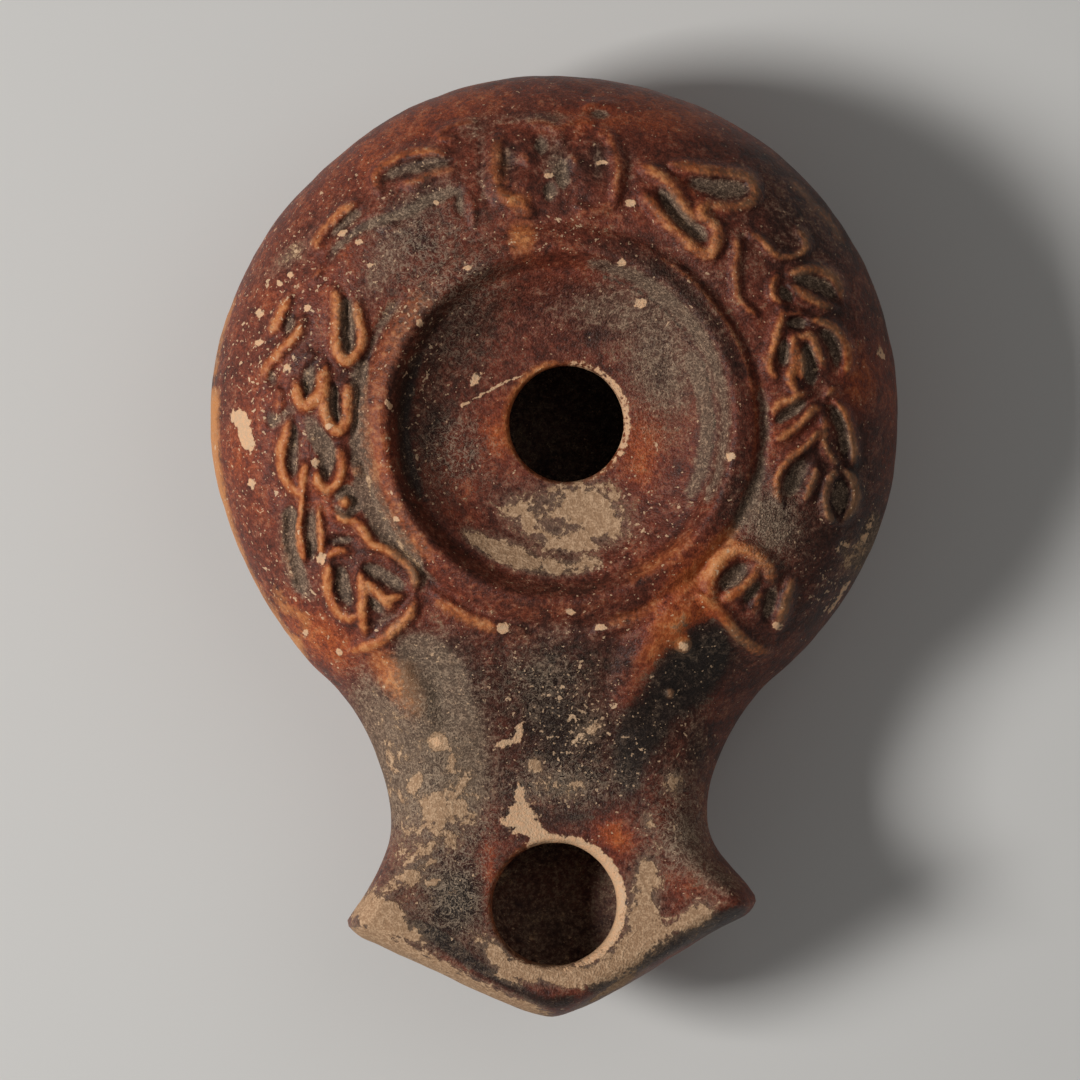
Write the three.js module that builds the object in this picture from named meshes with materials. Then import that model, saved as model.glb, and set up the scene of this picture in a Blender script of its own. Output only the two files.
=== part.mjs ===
// Mould-made Roman oil lamp of fired clay, in millimetres.
// +Z is up, the nozzle points along -Y, and the origin is the centre of the base's underside.
// The lamp is one hollow shell: its outer and inner skins meet in the filling hole and the wick hole.
import * as THREE from "three";
import { ConvexHull } from "three/addons/math/ConvexHull.js";
import { mergeVertices } from "three/addons/utils/BufferGeometryUtils.js";

const { lerp, smoothstep, degToRad, euclideanModulo } = THREE.MathUtils;
const vec = (x, y) => new THREE.Vector2(x, y);

// ---------------------------------------------------------------- driving dimensions
const BODY_RADIUS = 36.1;
// Where the body swells or flattens from a true circle, at angles clockwise from -Y as seen from above.
const SWELLS = [
  { at: -138, depth: 0.68, spread: 36 },
  { at: 162, depth: 0.28, spread: 22 },
  { at: -47, depth: -0.75, spread: 24 },
  { at: 62, depth: -0.58, spread: 15 },
];
const PARTING_Z = 16; // height of the body's widest line, where the two mould halves met
const SHOULDER_Z = 29.2;
const WALL = 3.6;

const NOZZLE_Z = 23.2; // height of the nozzle's top round the wick hole
const NOZZLE_PARTING_Z = 16.5;
const NOZZLE_KEEL_Z = 7.5; // underside of the nozzle below the wick hole
const JUNCTION_ANGLE = 43; // degrees either side of -Y where the nozzle leaves the body
const LEFT_FLANK = { neck: vec(-17.1, -41.5), fluke: vec(-22.0, -52.5), heel: vec(-20.3, -54.1) };
const RIGHT_FLANK = { neck: vec(16.0, -40.7), fluke: vec(21.4, -50.0), heel: vec(20.4, -51.5) };
const TIP = vec(-0.3, -62.4);
// How far a flank's curves run straight on from its points, to the outer side and towards the body.
const BENDS = {
  belowCircle: vec(-3.2, -2.4),
  aboveNeck: vec(0, 6),
  belowNeck: vec(0, -4.5),
  aboveFluke: vec(-2.4, 3.5),
  belowHeel: vec(-6, -2.4),
  besideTip: vec(6.6, 1.3),
};
const SPINE = new THREE.Line3(new THREE.Vector3(0, 0, 0), new THREE.Vector3(0.2, -50, 0));

// Widths over which a surface rolls up or down from the parting line, on the body and on the nozzle.
const TOP_ROLL = { body: 14.9, neck: 6.5, nozzle: 2.4 };
const UNDERSIDE_NOZZLE_ROLL = 9;
const CEILING_ROLL = { body: 13, nozzle: 5 };
const FLOOR_ROLL = { body: 15, nozzle: 7 };
const EDGE_INSET = { body: 2.6, nozzle: 1.9 }; // width of the rows of facets along the parting line
// Where the body's form turns into the nozzle's, as distances in front of the lamp's middle.
const TURNS = {
  parting: [28, 45],
  edgeInset: [30, 45],
  slope: [19, 40],
  neckRoll: [24, 38],
  nozzleRoll: [40, 50],
  keel: [18, 50],
  undersideRoll: [24, 44],
  ceiling: [20, 38],
  ceilingRoll: [24, 40],
};

const FILLING_HOLE = { centre: vec(1.3, -0.2), radius: 6.05, flare: 0.7 };
const WICK_HOLE = { centre: vec(0.05, -50.4), radius: 6.5, flare: 0.7 };
const RIM_DROP = 0.8; // how far the worn rim of a hole falls below the surface round it

const BASE_RADIUS = 17.5;
const BASE_STEP = 1.2; // height of the low disc that the lamp stands on
const BASE_FLARE = 0.6; // how much wider the disc is at its top

const RING_CENTRE = vec(0.6, -0.3);
// The raised ring and the sunk discus, as [radius, height] from the ring's outer foot inwards.
const RING_PROFILE = [
  [20.9, SHOULDER_Z],
  [20.2, 30.0],
  [18.5, 30.8],
  [17.8, 30.45],
  [16.6, 28.5],
  [15.2, 27.6],
  [12.4, 26.2],
];
const DISCUS_Z = 25.6;

// The wreath's leaves, each a raised outline round a sunk middle: [base x, base y, tip x, tip y, width].
const LEAVES = [
  // left side, from the nozzle to the rosette
  [-21.9, -13.6, -21.4, -20.6, 3.3],
  [-20.9, -12.8, -14.6, -17.8, 3.6],
  [-25.6, -8.4, -25.2, -15.6, 2.3],
  [-28.3, -8.3, -26.4, -18.2, 2.2],
  [-27.3, 0.4, -27.3, -7.2, 2.5],
  [-24.2, -0.9, -23.5, -7.0, 2.9],
  [-22.7, 5.4, -22.6, -1.1, 2.5],
  [-21.8, 13.4, -21.3, 6.2, 2.8],
  [-25.4, 7.6, -25.7, 1.7, 2.9],
  [-26.7, 12.8, -29.7, 7.4, 2.3],
  [-28.8, 6.8, -30.2, 1.4, 2.2],
  [-20.0, 22.6, -25.3, 18.1, 2.6],
  [-10.2, 27.4, -18.8, 24.9, 3.0],
  [-7.6, 30.8, -12.6, 29.8, 2.2],
  // right side, from the rosette to the nozzle
  [9.0, 25.3, 16.9, 17.9, 3.1],
  [12.0, 25.8, 21.3, 23.9, 3.6],
  [20.3, 19.9, 26.9, 18.2, 2.7],
  [23.9, 15.1, 30.8, 12.3, 2.7],
  [22.7, 13.6, 29.4, 10.6, 2.4],
  [24.0, 10.9, 23.3, 4.2, 2.5],
  [26.3, 9.4, 26.9, 3.4, 2.5],
  [27.1, 10.2, 30.1, 4.7, 3.7],
  [27.6, 2.3, 22.4, -1.0, 2.9],
  [29.2, 3.4, 30.7, -2.6, 2.5],
  [27.5, -1.8, 23.5, -8.7, 3.4],
  [30.0, -4.1, 29.5, -10.1, 2.8],
  [20.8, -13.0, 16.5, -18.2, 3.3],
  [23.7, -14.8, 22.4, -22.0, 3.0],
];
const LEAF_HEIGHT = 0.75;
const LEAF_REACH = 0.85; // from a leaf's crest to its foot
const LEAF_HOLLOW = 0.4; // depth of a leaf's sunk middle
const LEAF_FULLNESS = 0.15; // how much fuller a leaf is towards its tip

const ROSETTE_CENTRE = vec(0, 26.5);
const PETAL_ANGLES = [35, 145, 214, -34];
const PETAL = { base: 0.8, tip: 6.9, width: 5.2 }; // distances from the rosette's centre
// Petals in the same form as the leaves.
const PETALS = PETAL_ANGLES.map((angle) => {
  const out = vec(1, 0).rotateAround(vec(0, 0), degToRad(angle));
  const base = out.clone().multiplyScalar(PETAL.base).add(ROSETTE_CENTRE);
  const tip = out.clone().multiplyScalar(PETAL.tip).add(ROSETTE_CENTRE);
  return [base.x, base.y, tip.x, tip.y, PETAL.width];
});

// Ridges that run through a few points.
const RIDGES = [
  { through: [vec(19, 19.4), vec(18.9, 16.4), vec(18.9, 13.6), vec(21.2, 10.7)], reach: 0.8, height: 0.7 },
  { through: [vec(-12.5, -18), vec(-15.5, -21), vec(-18, -23), vec(-21.5, -24.5)], reach: 1, height: 0.8 },
  { through: [vec(14.9, -17.9), vec(18.6, -21.6), vec(22.5, -24.1)], reach: 1, height: 0.8 },
  { through: [vec(-18.0, -24.6), vec(-16.2, -27.5), vec(-14.3, -30.3)], reach: 1.2, height: 0.8 },
  { through: [vec(13, -20.4), vec(11, -23.2), vec(10, -25.6), vec(8.5, -28.6)], reach: 1.5, height: 0.9 },
];
const CREST_STEP = 1.15; // distance between the points of a crest

const NECK_HALF_WIDTH = 12.8; // of the passage inside the nozzle's neck
const WICK_CHAMBER_RADIUS = 8.9;
const NECK_Y = -41; // where the passage is narrowest
const PASSAGE_MOUTH = 15; // half width of the passage where it leaves the reservoir
const CEILING_RISE = [11, 19]; // radii between which the ceiling climbs from the discus to the shoulder
const INNER_EASE = 0.4; // how much the walls under the shoulder and over the base differ from the others

// ---------------------------------------------------------------- fineness of the facets
const PLAIN = { spacing: 4, lattice: 6.5 };
const CARVED = { spacing: 2.2, lattice: 4, crestSpacing: 0.5 };
const BASE_LATTICE = 9;
const BODY_STEPS = 84; // sides of the body's outline
const RIM_CLEARANCE = 1.05; // of a rim's half side, kept free of other points
const LATTICE_BOX = { left: -40, right: 40, front: -70, back: 40 };
const FLAT_NORMAL = 1e-9; // a hull face whose normal rises by less than this is not a top or a bottom
const MERGE_DISTANCE = 1e-4;

// ---------------------------------------------------------------- heights
/** A quarter of an ellipse: 0 at an edge, 1 from one width inwards. */
function roll(inset, width) {
  const share = THREE.MathUtils.clamp(inset / width, 0, 1);
  return Math.sqrt(1 - (1 - share) ** 2);
}

/** 0 behind a stretch of the lamp and 1 in front of it. */
const towardsNozzle = (y, [start, end]) => smoothstep(-y, start, end);

/** Distance from a plan point to the nearest side of a line of points. */
function distanceToLine(points, closed, x, y) {
  const sides = closed ? points.length : points.length - 1;
  let best = Infinity;
  for (let i = 0; i < sides; i++) {
    const a = points[i];
    const b = points[(i + 1) % points.length];
    const run = { x: b.x - a.x, y: b.y - a.y };
    const share = ((x - a.x) * run.x + (y - a.y) * run.y) / (run.x ** 2 + run.y ** 2);
    const t = THREE.MathUtils.clamp(share, 0, 1);
    best = Math.min(best, Math.hypot(a.x + t * run.x - x, a.y + t * run.y - y));
  }
  return best;
}

/** Whether a plan point lies inside a closed loop. */
function isInside(loop, x, y) {
  let inside = false;
  loop.forEach((a, i) => {
    const b = loop[(i + 1) % loop.length];
    const crosses = a.y > y !== b.y > y && x < ((b.x - a.x) * (y - a.y)) / (b.y - a.y) + a.x;
    inside = crosses ? !inside : inside;
  });
  return inside;
}

const OUTLINE = outline();
const HOLLOW = hollowOutline();

const edgeZ = (y) => lerp(PARTING_Z, NOZZLE_PARTING_Z, towardsNozzle(y, TURNS.parting));
const keelZ = (y) => lerp(BASE_STEP, NOZZLE_KEEL_Z, towardsNozzle(y, TURNS.keel));

function topZ(x, y) {
  const neckWidth = lerp(TOP_ROLL.body, TOP_ROLL.neck, towardsNozzle(y, TURNS.neckRoll));
  const width = lerp(neckWidth, TOP_ROLL.nozzle, towardsNozzle(y, TURNS.nozzleRoll));
  const plateau = lerp(SHOULDER_Z, NOZZLE_Z, towardsNozzle(y, TURNS.slope));
  return lerp(edgeZ(y), plateau, roll(distanceToLine(OUTLINE, true, x, y), width));
}

function undersideZ(x, y) {
  const bodyWidth = BODY_RADIUS - BASE_RADIUS;
  const width = lerp(bodyWidth, UNDERSIDE_NOZZLE_ROLL, towardsNozzle(y, TURNS.undersideRoll));
  return lerp(edgeZ(y), keelZ(y), roll(distanceToLine(OUTLINE, true, x, y), width));
}

function ceilingZ(x, y) {
  const climb = smoothstep(Math.hypot(x, y), ...CEILING_RISE);
  const underRing = lerp(DISCUS_Z, SHOULDER_Z - INNER_EASE, climb) - WALL;
  const highest = lerp(underRing, NOZZLE_Z - WALL, towardsNozzle(y, TURNS.ceiling));
  const width = lerp(CEILING_ROLL.body, CEILING_ROLL.nozzle, towardsNozzle(y, TURNS.ceilingRoll));
  return lerp(edgeZ(y), highest, roll(distanceToLine(HOLLOW, true, x, y), width));
}

function floorZ(x, y) {
  const lowest = keelZ(y) + WALL - INNER_EASE;
  const width = lerp(FLOOR_ROLL.body, FLOOR_ROLL.nozzle, towardsNozzle(y, TURNS.undersideRoll));
  return lerp(edgeZ(y), lowest, roll(distanceToLine(HOLLOW, true, x, y), width));
}

// ---------------------------------------------------------------- plan curves
/** The point of a circle at an angle in degrees, measured clockwise from -Y as seen from above. */
function circlePoint(radius, angle) {
  const a = degToRad(angle);
  return vec(-radius * Math.sin(a), -radius * Math.cos(a));
}

/** The body's radius at an angle in degrees, measured clockwise from -Y as seen from above. */
function bodyRadius(angle) {
  return SWELLS.reduce((radius, { at, depth, spread }) => {
    const turn = euclideanModulo(angle - at + 180, 360) - 180;
    return radius + depth * Math.exp(-((turn / spread) ** 2));
  }, BODY_RADIUS);
}

/** Points along a list of curves, each with its own number of steps. */
function sample(stretches) {
  return stretches.flatMap(([curve, steps]) => curve.getPoints(steps).slice(0, -1));
}

/** The lamp's outline from above, anticlockwise, from the right end of the body's circle. */
function outline() {
  const body = Array.from({ length: BODY_STEPS }, (_, i) => {
    const angle = lerp(-JUNCTION_ANGLE, JUNCTION_ANGLE - 360, i / BODY_STEPS);
    return circlePoint(bodyRadius(angle), angle);
  });
  const flank = ({ neck, fluke, heel }, side) => {
    const start = circlePoint(bodyRadius(-side * JUNCTION_ANGLE), -side * JUNCTION_ANGLE);
    const bent = (point, bend) => vec(point.x + side * bend.x, point.y + bend.y);
    return {
      upper: [start, bent(start, BENDS.belowCircle), bent(neck, BENDS.aboveNeck), neck],
      lower: [neck, bent(neck, BENDS.belowNeck), bent(fluke, BENDS.aboveFluke), fluke],
      bevel: [fluke, heel],
      front: [heel, bent(heel, BENDS.belowHeel), bent(TIP, BENDS.besideTip), TIP],
    };
  };
  const bezier = (points) => new THREE.CubicBezierCurve(...points);
  const line = (points) => new THREE.LineCurve(...points);
  const left = flank(LEFT_FLANK, -1);
  const right = flank(RIGHT_FLANK, 1);
  const back = (points) => [...points].reverse();
  const nozzle = sample([
    [bezier(left.upper), 7],
    [bezier(left.lower), 6],
    [line(left.bevel), 1],
    [bezier(left.front), 9],
    [bezier(back(right.front)), 9],
    [line(back(right.bevel)), 1],
    [bezier(back(right.lower)), 6],
    [bezier(back(right.upper)), 7],
  ]);
  return [...body, ...nozzle];
}

/** The widest line of the hollow inside: the reservoir, the passage and the chamber under the wick hole. */
function hollowOutline() {
  const radius = BODY_RADIUS - WALL;
  const mouth = Math.asin(PASSAGE_MOUTH / radius);
  const reservoir = new THREE.ArcCurve(0, 0, radius, mouth - Math.PI / 2, 1.5 * Math.PI - mouth, false);
  const { x, y } = WICK_HOLE.centre;
  const chamber = new THREE.ArcCurve(x, y, WICK_CHAMBER_RADIUS, Math.PI, 2 * Math.PI, false);
  const side = (sign) => [
    vec(sign * PASSAGE_MOUTH, -radius * Math.cos(mouth)),
    vec(sign * NECK_HALF_WIDTH, NECK_Y),
    vec(x + sign * WICK_CHAMBER_RADIUS, y),
  ];
  const [leftMouth, leftNeck, leftEnd] = side(-1);
  const [rightMouth, rightNeck, rightEnd] = side(1);
  return sample([
    [reservoir, 32],
    [new THREE.LineCurve(leftMouth, leftNeck), 2],
    [new THREE.LineCurve(leftNeck, leftEnd), 2],
    [chamber, 8],
    [new THREE.LineCurve(rightEnd, rightNeck), 2],
    [new THREE.LineCurve(rightNeck, rightMouth), 2],
  ]);
}

function circle(centre, radius, count, zOf) {
  return Array.from({ length: count }, (_, i) => {
    const { x, y } = circlePoint(radius, (-360 * i) / count).add(centre);
    return new THREE.Vector3(x, y, zOf(x, y));
  });
}

/** A loop moved inwards, towards the spine of the lamp, and lifted to a height. */
function insetLoop(loop, insetAt, zOf) {
  return loop.map(({ x, y }) => {
    const p = new THREE.Vector3(x, y, 0);
    const towards = SPINE.closestPointToPoint(p, true, new THREE.Vector3()).sub(p).normalize();
    p.addScaledVector(towards, insetAt(y));
    return p.setZ(zOf(p.x, p.y));
  });
}

// ---------------------------------------------------------------- relief
/** The crest round a leaf or petal, from its base to its tip. */
function leafCrest([baseX, baseY, tipX, tipY, width]) {
  const base = vec(baseX, baseY);
  const axis = vec(tipX, tipY).sub(base);
  const length = axis.length();
  const steps = Math.round((2.1 * length) / CREST_STEP);
  return Array.from({ length: steps }, (_, i) => {
    const t = (2 * Math.PI * i) / steps;
    const along = (length * (1 - Math.cos(t))) / 2;
    const across = (width / 2) * Math.sin(t) * (1 - LEAF_FULLNESS * Math.cos(t));
    return vec(along, across).rotateAround(vec(0, 0), axis.angle()).add(base);
  });
}

/** The crest along a ridge that runs through a few points. */
function ridgeCrest(points) {
  const curve = new THREE.SplineCurve(points);
  return curve.getSpacedPoints(Math.round(curve.getLength() / CREST_STEP));
}

const LEAF_CRESTS = [...LEAVES, ...PETALS].map(leafCrest);
const CRESTS = [
  ...LEAF_CRESTS.map((points) => ({ points, closed: true, reach: LEAF_REACH, height: LEAF_HEIGHT })),
  ...RIDGES.map((ridge) => ({ ...ridge, points: ridgeCrest(ridge.through), closed: false })),
];

/** Height of the relief over the plain surface. */
function reliefZ(x, y) {
  const sunk = LEAF_CRESTS.some((crest) => isInside(crest, x, y)) ? -LEAF_HOLLOW : 0;
  return CRESTS.reduce((highest, { points, closed, reach, height }) => {
    const share = Math.max(0, 1 - distanceToLine(points, closed, x, y) / reach);
    return Math.max(highest, lerp(sunk, height, share));
  }, sunk);
}

const carvedZ = (x, y) => topZ(x, y) + reliefZ(x, y);

/** Plan points of the relief: every crest first, then the feet on both sides of it. */
function reliefPoints() {
  const feet = CRESTS.flatMap(({ points, closed, reach }) =>
    points.flatMap((p, i) => {
      const before = closed ? points.at(i - 1) : points[Math.max(i - 1, 0)];
      const after = closed ? points[(i + 1) % points.length] : points[Math.min(i + 1, points.length - 1)];
      const across = after.clone().sub(before).rotateAround(vec(0, 0), Math.PI / 2).setLength(reach);
      return [p.clone().add(across), p.clone().sub(across)];
    }),
  );
  return [...CRESTS.flatMap(({ points }) => points), ...feet];
}

// ---------------------------------------------------------------- triangles
/** Delaunay triangles of plan points: the underside of their hull once lifted onto a paraboloid. */
function delaunay(points) {
  const lifted = points.map(({ x, y }) => new THREE.Vector3(x, y, x * x + y * y));
  const indexOf = new Map(lifted.map((p, i) => [p, i]));
  return new ConvexHull()
    .setFromPoints(lifted)
    .faces.filter((face) => face.normal.z < -FLAT_NORMAL)
    .map((face) => [0, 1, 2].map((corner) => indexOf.get(face.getEdge(corner).head().point)).reverse());
}

/** Points on a lattice of equal triangles that covers the lamp. */
function lattice(spacing) {
  const { left, right, front, back } = LATTICE_BOX;
  const rise = spacing * Math.sin(Math.PI / 3);
  const points = [];
  for (let row = 0; front + row * rise < back; row++) {
    const shift = (row % 2) * (spacing / 2);
    for (let x = left + shift; x < right; x += spacing) {
      points.push(vec(x, front + row * rise));
    }
  }
  return points;
}

/** A shell of triangles under construction. Loops run anticlockwise as seen from above. */
class Shell {
  corners = [];

  /** Bands between neighbouring loops of equal count. */
  bands(loops) {
    loops.slice(1).forEach((inner, k) => {
      const outer = loops[k];
      outer.forEach((a, i) => {
        const next = (i + 1) % outer.length;
        this.corners.push(a, outer[next], inner[next], a, inner[next], inner[i]);
      });
    });
    return this;
  }

  /** A sheet inside a boundary and outside its holes, through those of the wanted points that fit. */
  sheet(boundary, holes, wanted, zOf, facing) {
    const loops = [boundary, ...holes];
    const rim = loops.flat();
    const midpoints = loops.flatMap((loop) =>
      loop.map((a, i) => {
        const b = loop[(i + 1) % loop.length];
        return { x: (a.x + b.x) / 2, y: (a.y + b.y) / 2, reach: Math.hypot(a.x - b.x, a.y - b.y) / 2 };
      }),
    );
    const within = (x, y) => isInside(boundary, x, y) && !holes.some((hole) => isInside(hole, x, y));
    const kept = [];
    for (const [spacing, points] of wanted) {
      for (const { x, y } of points) {
        const fits =
          within(x, y) &&
          midpoints.every((m) => Math.hypot(m.x - x, m.y - y) > RIM_CLEARANCE * m.reach) &&
          [...rim, ...kept].every((q) => Math.hypot(q.x - x, q.y - y) > spacing);
        if (fits) kept.push(new THREE.Vector3(x, y, zOf(x, y)));
      }
    }
    const points = [...rim, ...kept];
    for (const triangle of delaunay(points)) {
      const [a, b, c] = triangle.map((i) => points[i]);
      if (!within((a.x + b.x + c.x) / 3, (a.y + b.y + c.y) / 3)) continue;
      this.corners.push(...(facing > 0 ? [a, b, c] : [c, b, a]));
    }
    return this;
  }

  toGeometry() {
    return mergeVertices(new THREE.BufferGeometry().setFromPoints(this.corners), MERGE_DISTANCE);
  }
}

// ---------------------------------------------------------------- the lamp
function lampGeometry() {
  const edgeInset = (y) => lerp(EDGE_INSET.body, EDGE_INSET.nozzle, towardsNozzle(y, TURNS.edgeInset));
  const edgeRow = (loop, share, zOf) => insetLoop(loop, (y) => share * edgeInset(y), zOf);
  const edge = edgeRow(OUTLINE, 0, (x, y) => edgeZ(y));
  const topRows = [0.1, 0.4, 1].map((share) => edgeRow(OUTLINE, share, topZ));
  const undersideRows = [1, 0.4, 0.1].map((share) => edgeRow(OUTLINE, share, undersideZ));

  const baseEdge = circle(vec(0, 0), BASE_RADIUS + BASE_FLARE, 40, () => BASE_STEP);
  const base = circle(vec(0, 0), BASE_RADIUS, 40, () => 0);

  const ring = RING_PROFILE.map(([radius, z]) => circle(RING_CENTRE, radius, 56, () => z));
  const holeLoops = ({ centre, radius, flare }, count, z) => [
    circle(centre, radius + flare, count, () => z),
    circle(centre, radius, count, () => z - RIM_DROP),
    circle(centre, radius, count, ceilingZ),
  ];
  const filling = holeLoops(FILLING_HOLE, 56, DISCUS_Z);
  const wick = holeLoops(WICK_HOLE, 28, NOZZLE_Z);

  const hollowEdge = edgeRow(HOLLOW, 0, (x, y) => edgeZ(y));
  const ceilingRows = [1, 0.3].map((share) => edgeRow(HOLLOW, share, ceilingZ));
  const floorRows = [0.3, 1].map((share) => edgeRow(HOLLOW, share, floorZ));

  const plain = [[PLAIN.spacing, lattice(PLAIN.lattice)]];
  const carved = [
    [CARVED.crestSpacing, reliefPoints()],
    [CARVED.spacing, lattice(CARVED.lattice)],
  ];
  const shell = new Shell();
  shell.sheet(base, [], [[PLAIN.spacing, lattice(BASE_LATTICE)]], () => 0, -1);
  shell.bands([base, baseEdge]);
  shell.sheet(undersideRows[0], [baseEdge], plain, undersideZ, -1);
  shell.bands([...undersideRows, edge, ...topRows]);
  shell.sheet(topRows[2], [ring[0], wick[0]], carved, carvedZ, 1);
  shell.bands([...ring, ...filling]);
  shell.bands(wick);
  shell.sheet(ceilingRows[0], [filling[2], wick[2]], plain, ceilingZ, -1);
  shell.bands([...ceilingRows, hollowEdge, ...floorRows]);
  shell.sheet(floorRows[1], [], plain, floorZ, 1);
  return shell.toGeometry();
}

const clay = new THREE.MeshStandardMaterial({ color: 0x6b3a28, roughness: 0.62, metalness: 0 });
const lamp = new THREE.Mesh(lampGeometry(), clay);
lamp.name = "lamp";

const part = new THREE.Group();
part.add(lamp);
export default part;
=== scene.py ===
"""Roman oil lamp of fired clay: the finished surface of the one-piece lamp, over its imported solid.

Plan sizes and heights are in millimetres, as a potter would measure the lamp, and MM turns them into
metres where a mesh or a light is made. The nozzle points along -Y and the lamp stands on z = 0. Angles
in plan are degrees clockwise from -Y, as seen from above.
"""

import logging
import math
from dataclasses import dataclass, field
from enum import Enum
from functools import cached_property
from typing import Callable, Iterable, Mapping, Sequence

import bpy
import numpy as np
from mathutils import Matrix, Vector
from mathutils.geometry import delaunay_2d_cdt

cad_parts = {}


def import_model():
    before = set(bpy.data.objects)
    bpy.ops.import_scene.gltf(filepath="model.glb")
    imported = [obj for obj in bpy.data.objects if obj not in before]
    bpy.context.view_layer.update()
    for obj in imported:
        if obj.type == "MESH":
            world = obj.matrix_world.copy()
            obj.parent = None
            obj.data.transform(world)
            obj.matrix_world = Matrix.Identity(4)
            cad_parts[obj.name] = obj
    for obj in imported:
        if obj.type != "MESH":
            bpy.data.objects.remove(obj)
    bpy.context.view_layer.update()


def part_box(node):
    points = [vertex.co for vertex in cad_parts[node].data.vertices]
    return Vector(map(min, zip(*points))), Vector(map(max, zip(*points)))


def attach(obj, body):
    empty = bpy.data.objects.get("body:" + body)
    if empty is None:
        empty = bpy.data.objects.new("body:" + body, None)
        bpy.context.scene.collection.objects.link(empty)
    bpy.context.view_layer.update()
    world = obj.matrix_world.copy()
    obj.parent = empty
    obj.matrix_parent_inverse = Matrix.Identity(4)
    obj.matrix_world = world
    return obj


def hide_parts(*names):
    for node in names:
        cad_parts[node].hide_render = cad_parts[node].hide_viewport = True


MM = 0.001  # metres in a millimetre
LOG = logging.getLogger("roman_oil_lamp")

Point = tuple[float, float]
Place = tuple[float, float, float]
Colour = tuple[float, float, float, float]
Socket = bpy.types.NodeSocket
HeightAt = Callable[[np.ndarray], np.ndarray]


def earth(red: int, green: int, blue: int) -> Colour:
    """A clay or slip colour, from its display value to the linear value that a shader takes.

    Args:
        red, green, blue: the colour as shown on a display, each from 0 to 255.

    Returns:
        The linear colour with full alpha.
    """

    def linear(value: int) -> float:
        """One channel in linear light."""
        share = value / 255
        return share / 12.92 if share <= 0.04045 else ((share + 0.055) / 1.055) ** 2.4

    return (linear(red), linear(green), linear(blue), 1.0)


def smoothstep(values: np.ndarray, low: float | np.ndarray, high: float | np.ndarray) -> np.ndarray:
    """0 below low and 1 above high, with a smooth rise between."""
    share = np.clip((values - low) / (high - low), 0, 1)
    return share * share * (3 - 2 * share)


def lerp(a: float | np.ndarray, b: float | np.ndarray, share: float | np.ndarray) -> np.ndarray:
    """The value a share of the way from a to b."""
    return a + (b - a) * share


def heading(angle: float) -> np.ndarray:
    """The plan direction at an angle."""
    turn = math.radians(angle)
    return np.array([-math.sin(turn), -math.cos(turn)])


# ---------------------------------------------------------------- plan geometry


def inside(loop: np.ndarray, points: np.ndarray) -> np.ndarray:
    """Which plan points lie inside a closed loop.

    Args:
        loop: the loop's corners, one row each.
        points: the points to test, one row each.

    Returns:
        A truth value for each point.
    """
    x, y = points[:, 0], points[:, 1]
    result = np.zeros(len(points), bool)
    for (ax, ay), (bx, by) in zip(loop[:, :2], np.roll(loop[:, :2], -1, axis=0)):
        if ay == by:
            continue
        crosses = (ay > y) != (by > y)
        result ^= crosses & (x < (bx - ax) * (y - ay) / (by - ay) + ax)
    return result


def between_loops(loops: Sequence[np.ndarray], points: np.ndarray) -> np.ndarray:
    """Which plan points lie inside the first loop and outside the others.

    Args:
        loops: the corners of each loop, one row each.
        points: the points to test, one row each.

    Returns:
        A truth value for each point.
    """
    result = inside(loops[0], points)
    for loop in loops[1:]:
        result &= ~inside(loop, points)
    return result


def distance_to(loop: np.ndarray, points: np.ndarray) -> np.ndarray:
    """Distance from each plan point to the nearest side of a closed loop.

    Args:
        loop: the loop's corners, one row each.
        points: the points to measure from, one row each.

    Returns:
        The distance for each point.
    """
    best = np.full(len(points), np.inf)
    for a, b in zip(loop[:, :2], np.roll(loop[:, :2], -1, axis=0)):
        best = np.minimum(best, distance_to_side(a, b, points)[0])
    return best


def distance_to_side(a: np.ndarray, b: np.ndarray, points: np.ndarray) -> tuple[np.ndarray, np.ndarray]:
    """Distance from plan points to one straight side.

    Args:
        a, b: the side's ends.
        points: the points to measure from, one row each.

    Returns:
        The distance, and the share of the way from a to b of the nearest place.
    """
    run = b - a
    reach = points[:, :2] - a
    share = np.clip(reach @ run / max(run @ run, 1e-9), 0, 1)
    return np.hypot(*(reach - share[:, None] * run).T), share


def bezier(ends: Sequence[np.ndarray], steps: int) -> np.ndarray:
    """A cubic curve without its last point.

    Args:
        ends: start, first handle, second handle and end.
        steps: how many points to return.

    Returns:
        The points, one row each.
    """
    t = np.arange(steps)[:, None] / steps
    a, b, c, d = (np.asarray(end, float) for end in ends)
    return (1 - t) ** 3 * a + 3 * (1 - t) ** 2 * t * b + 3 * (1 - t) * t**2 * c + t**3 * d


def even_steps(points: np.ndarray, spacing: float, closed: bool) -> np.ndarray:
    """The same line with points at an even spacing.

    Args:
        points: the line's points, one row each.
        spacing: the wanted distance between neighbours.
        closed: whether the line runs back to its start.

    Returns:
        The new points, one row each.
    """
    line = np.vstack([points, points[:1]]) if closed else points
    run = np.concatenate([[0], np.cumsum(np.hypot(*np.diff(line, axis=0).T))])
    count = max(2, round(run[-1] / spacing))
    at = np.arange(count) * run[-1] / count if closed else np.linspace(0, run[-1], count + 1)
    return np.stack([np.interp(at, run, line[:, i]) for i in (0, 1)], axis=1)


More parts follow.
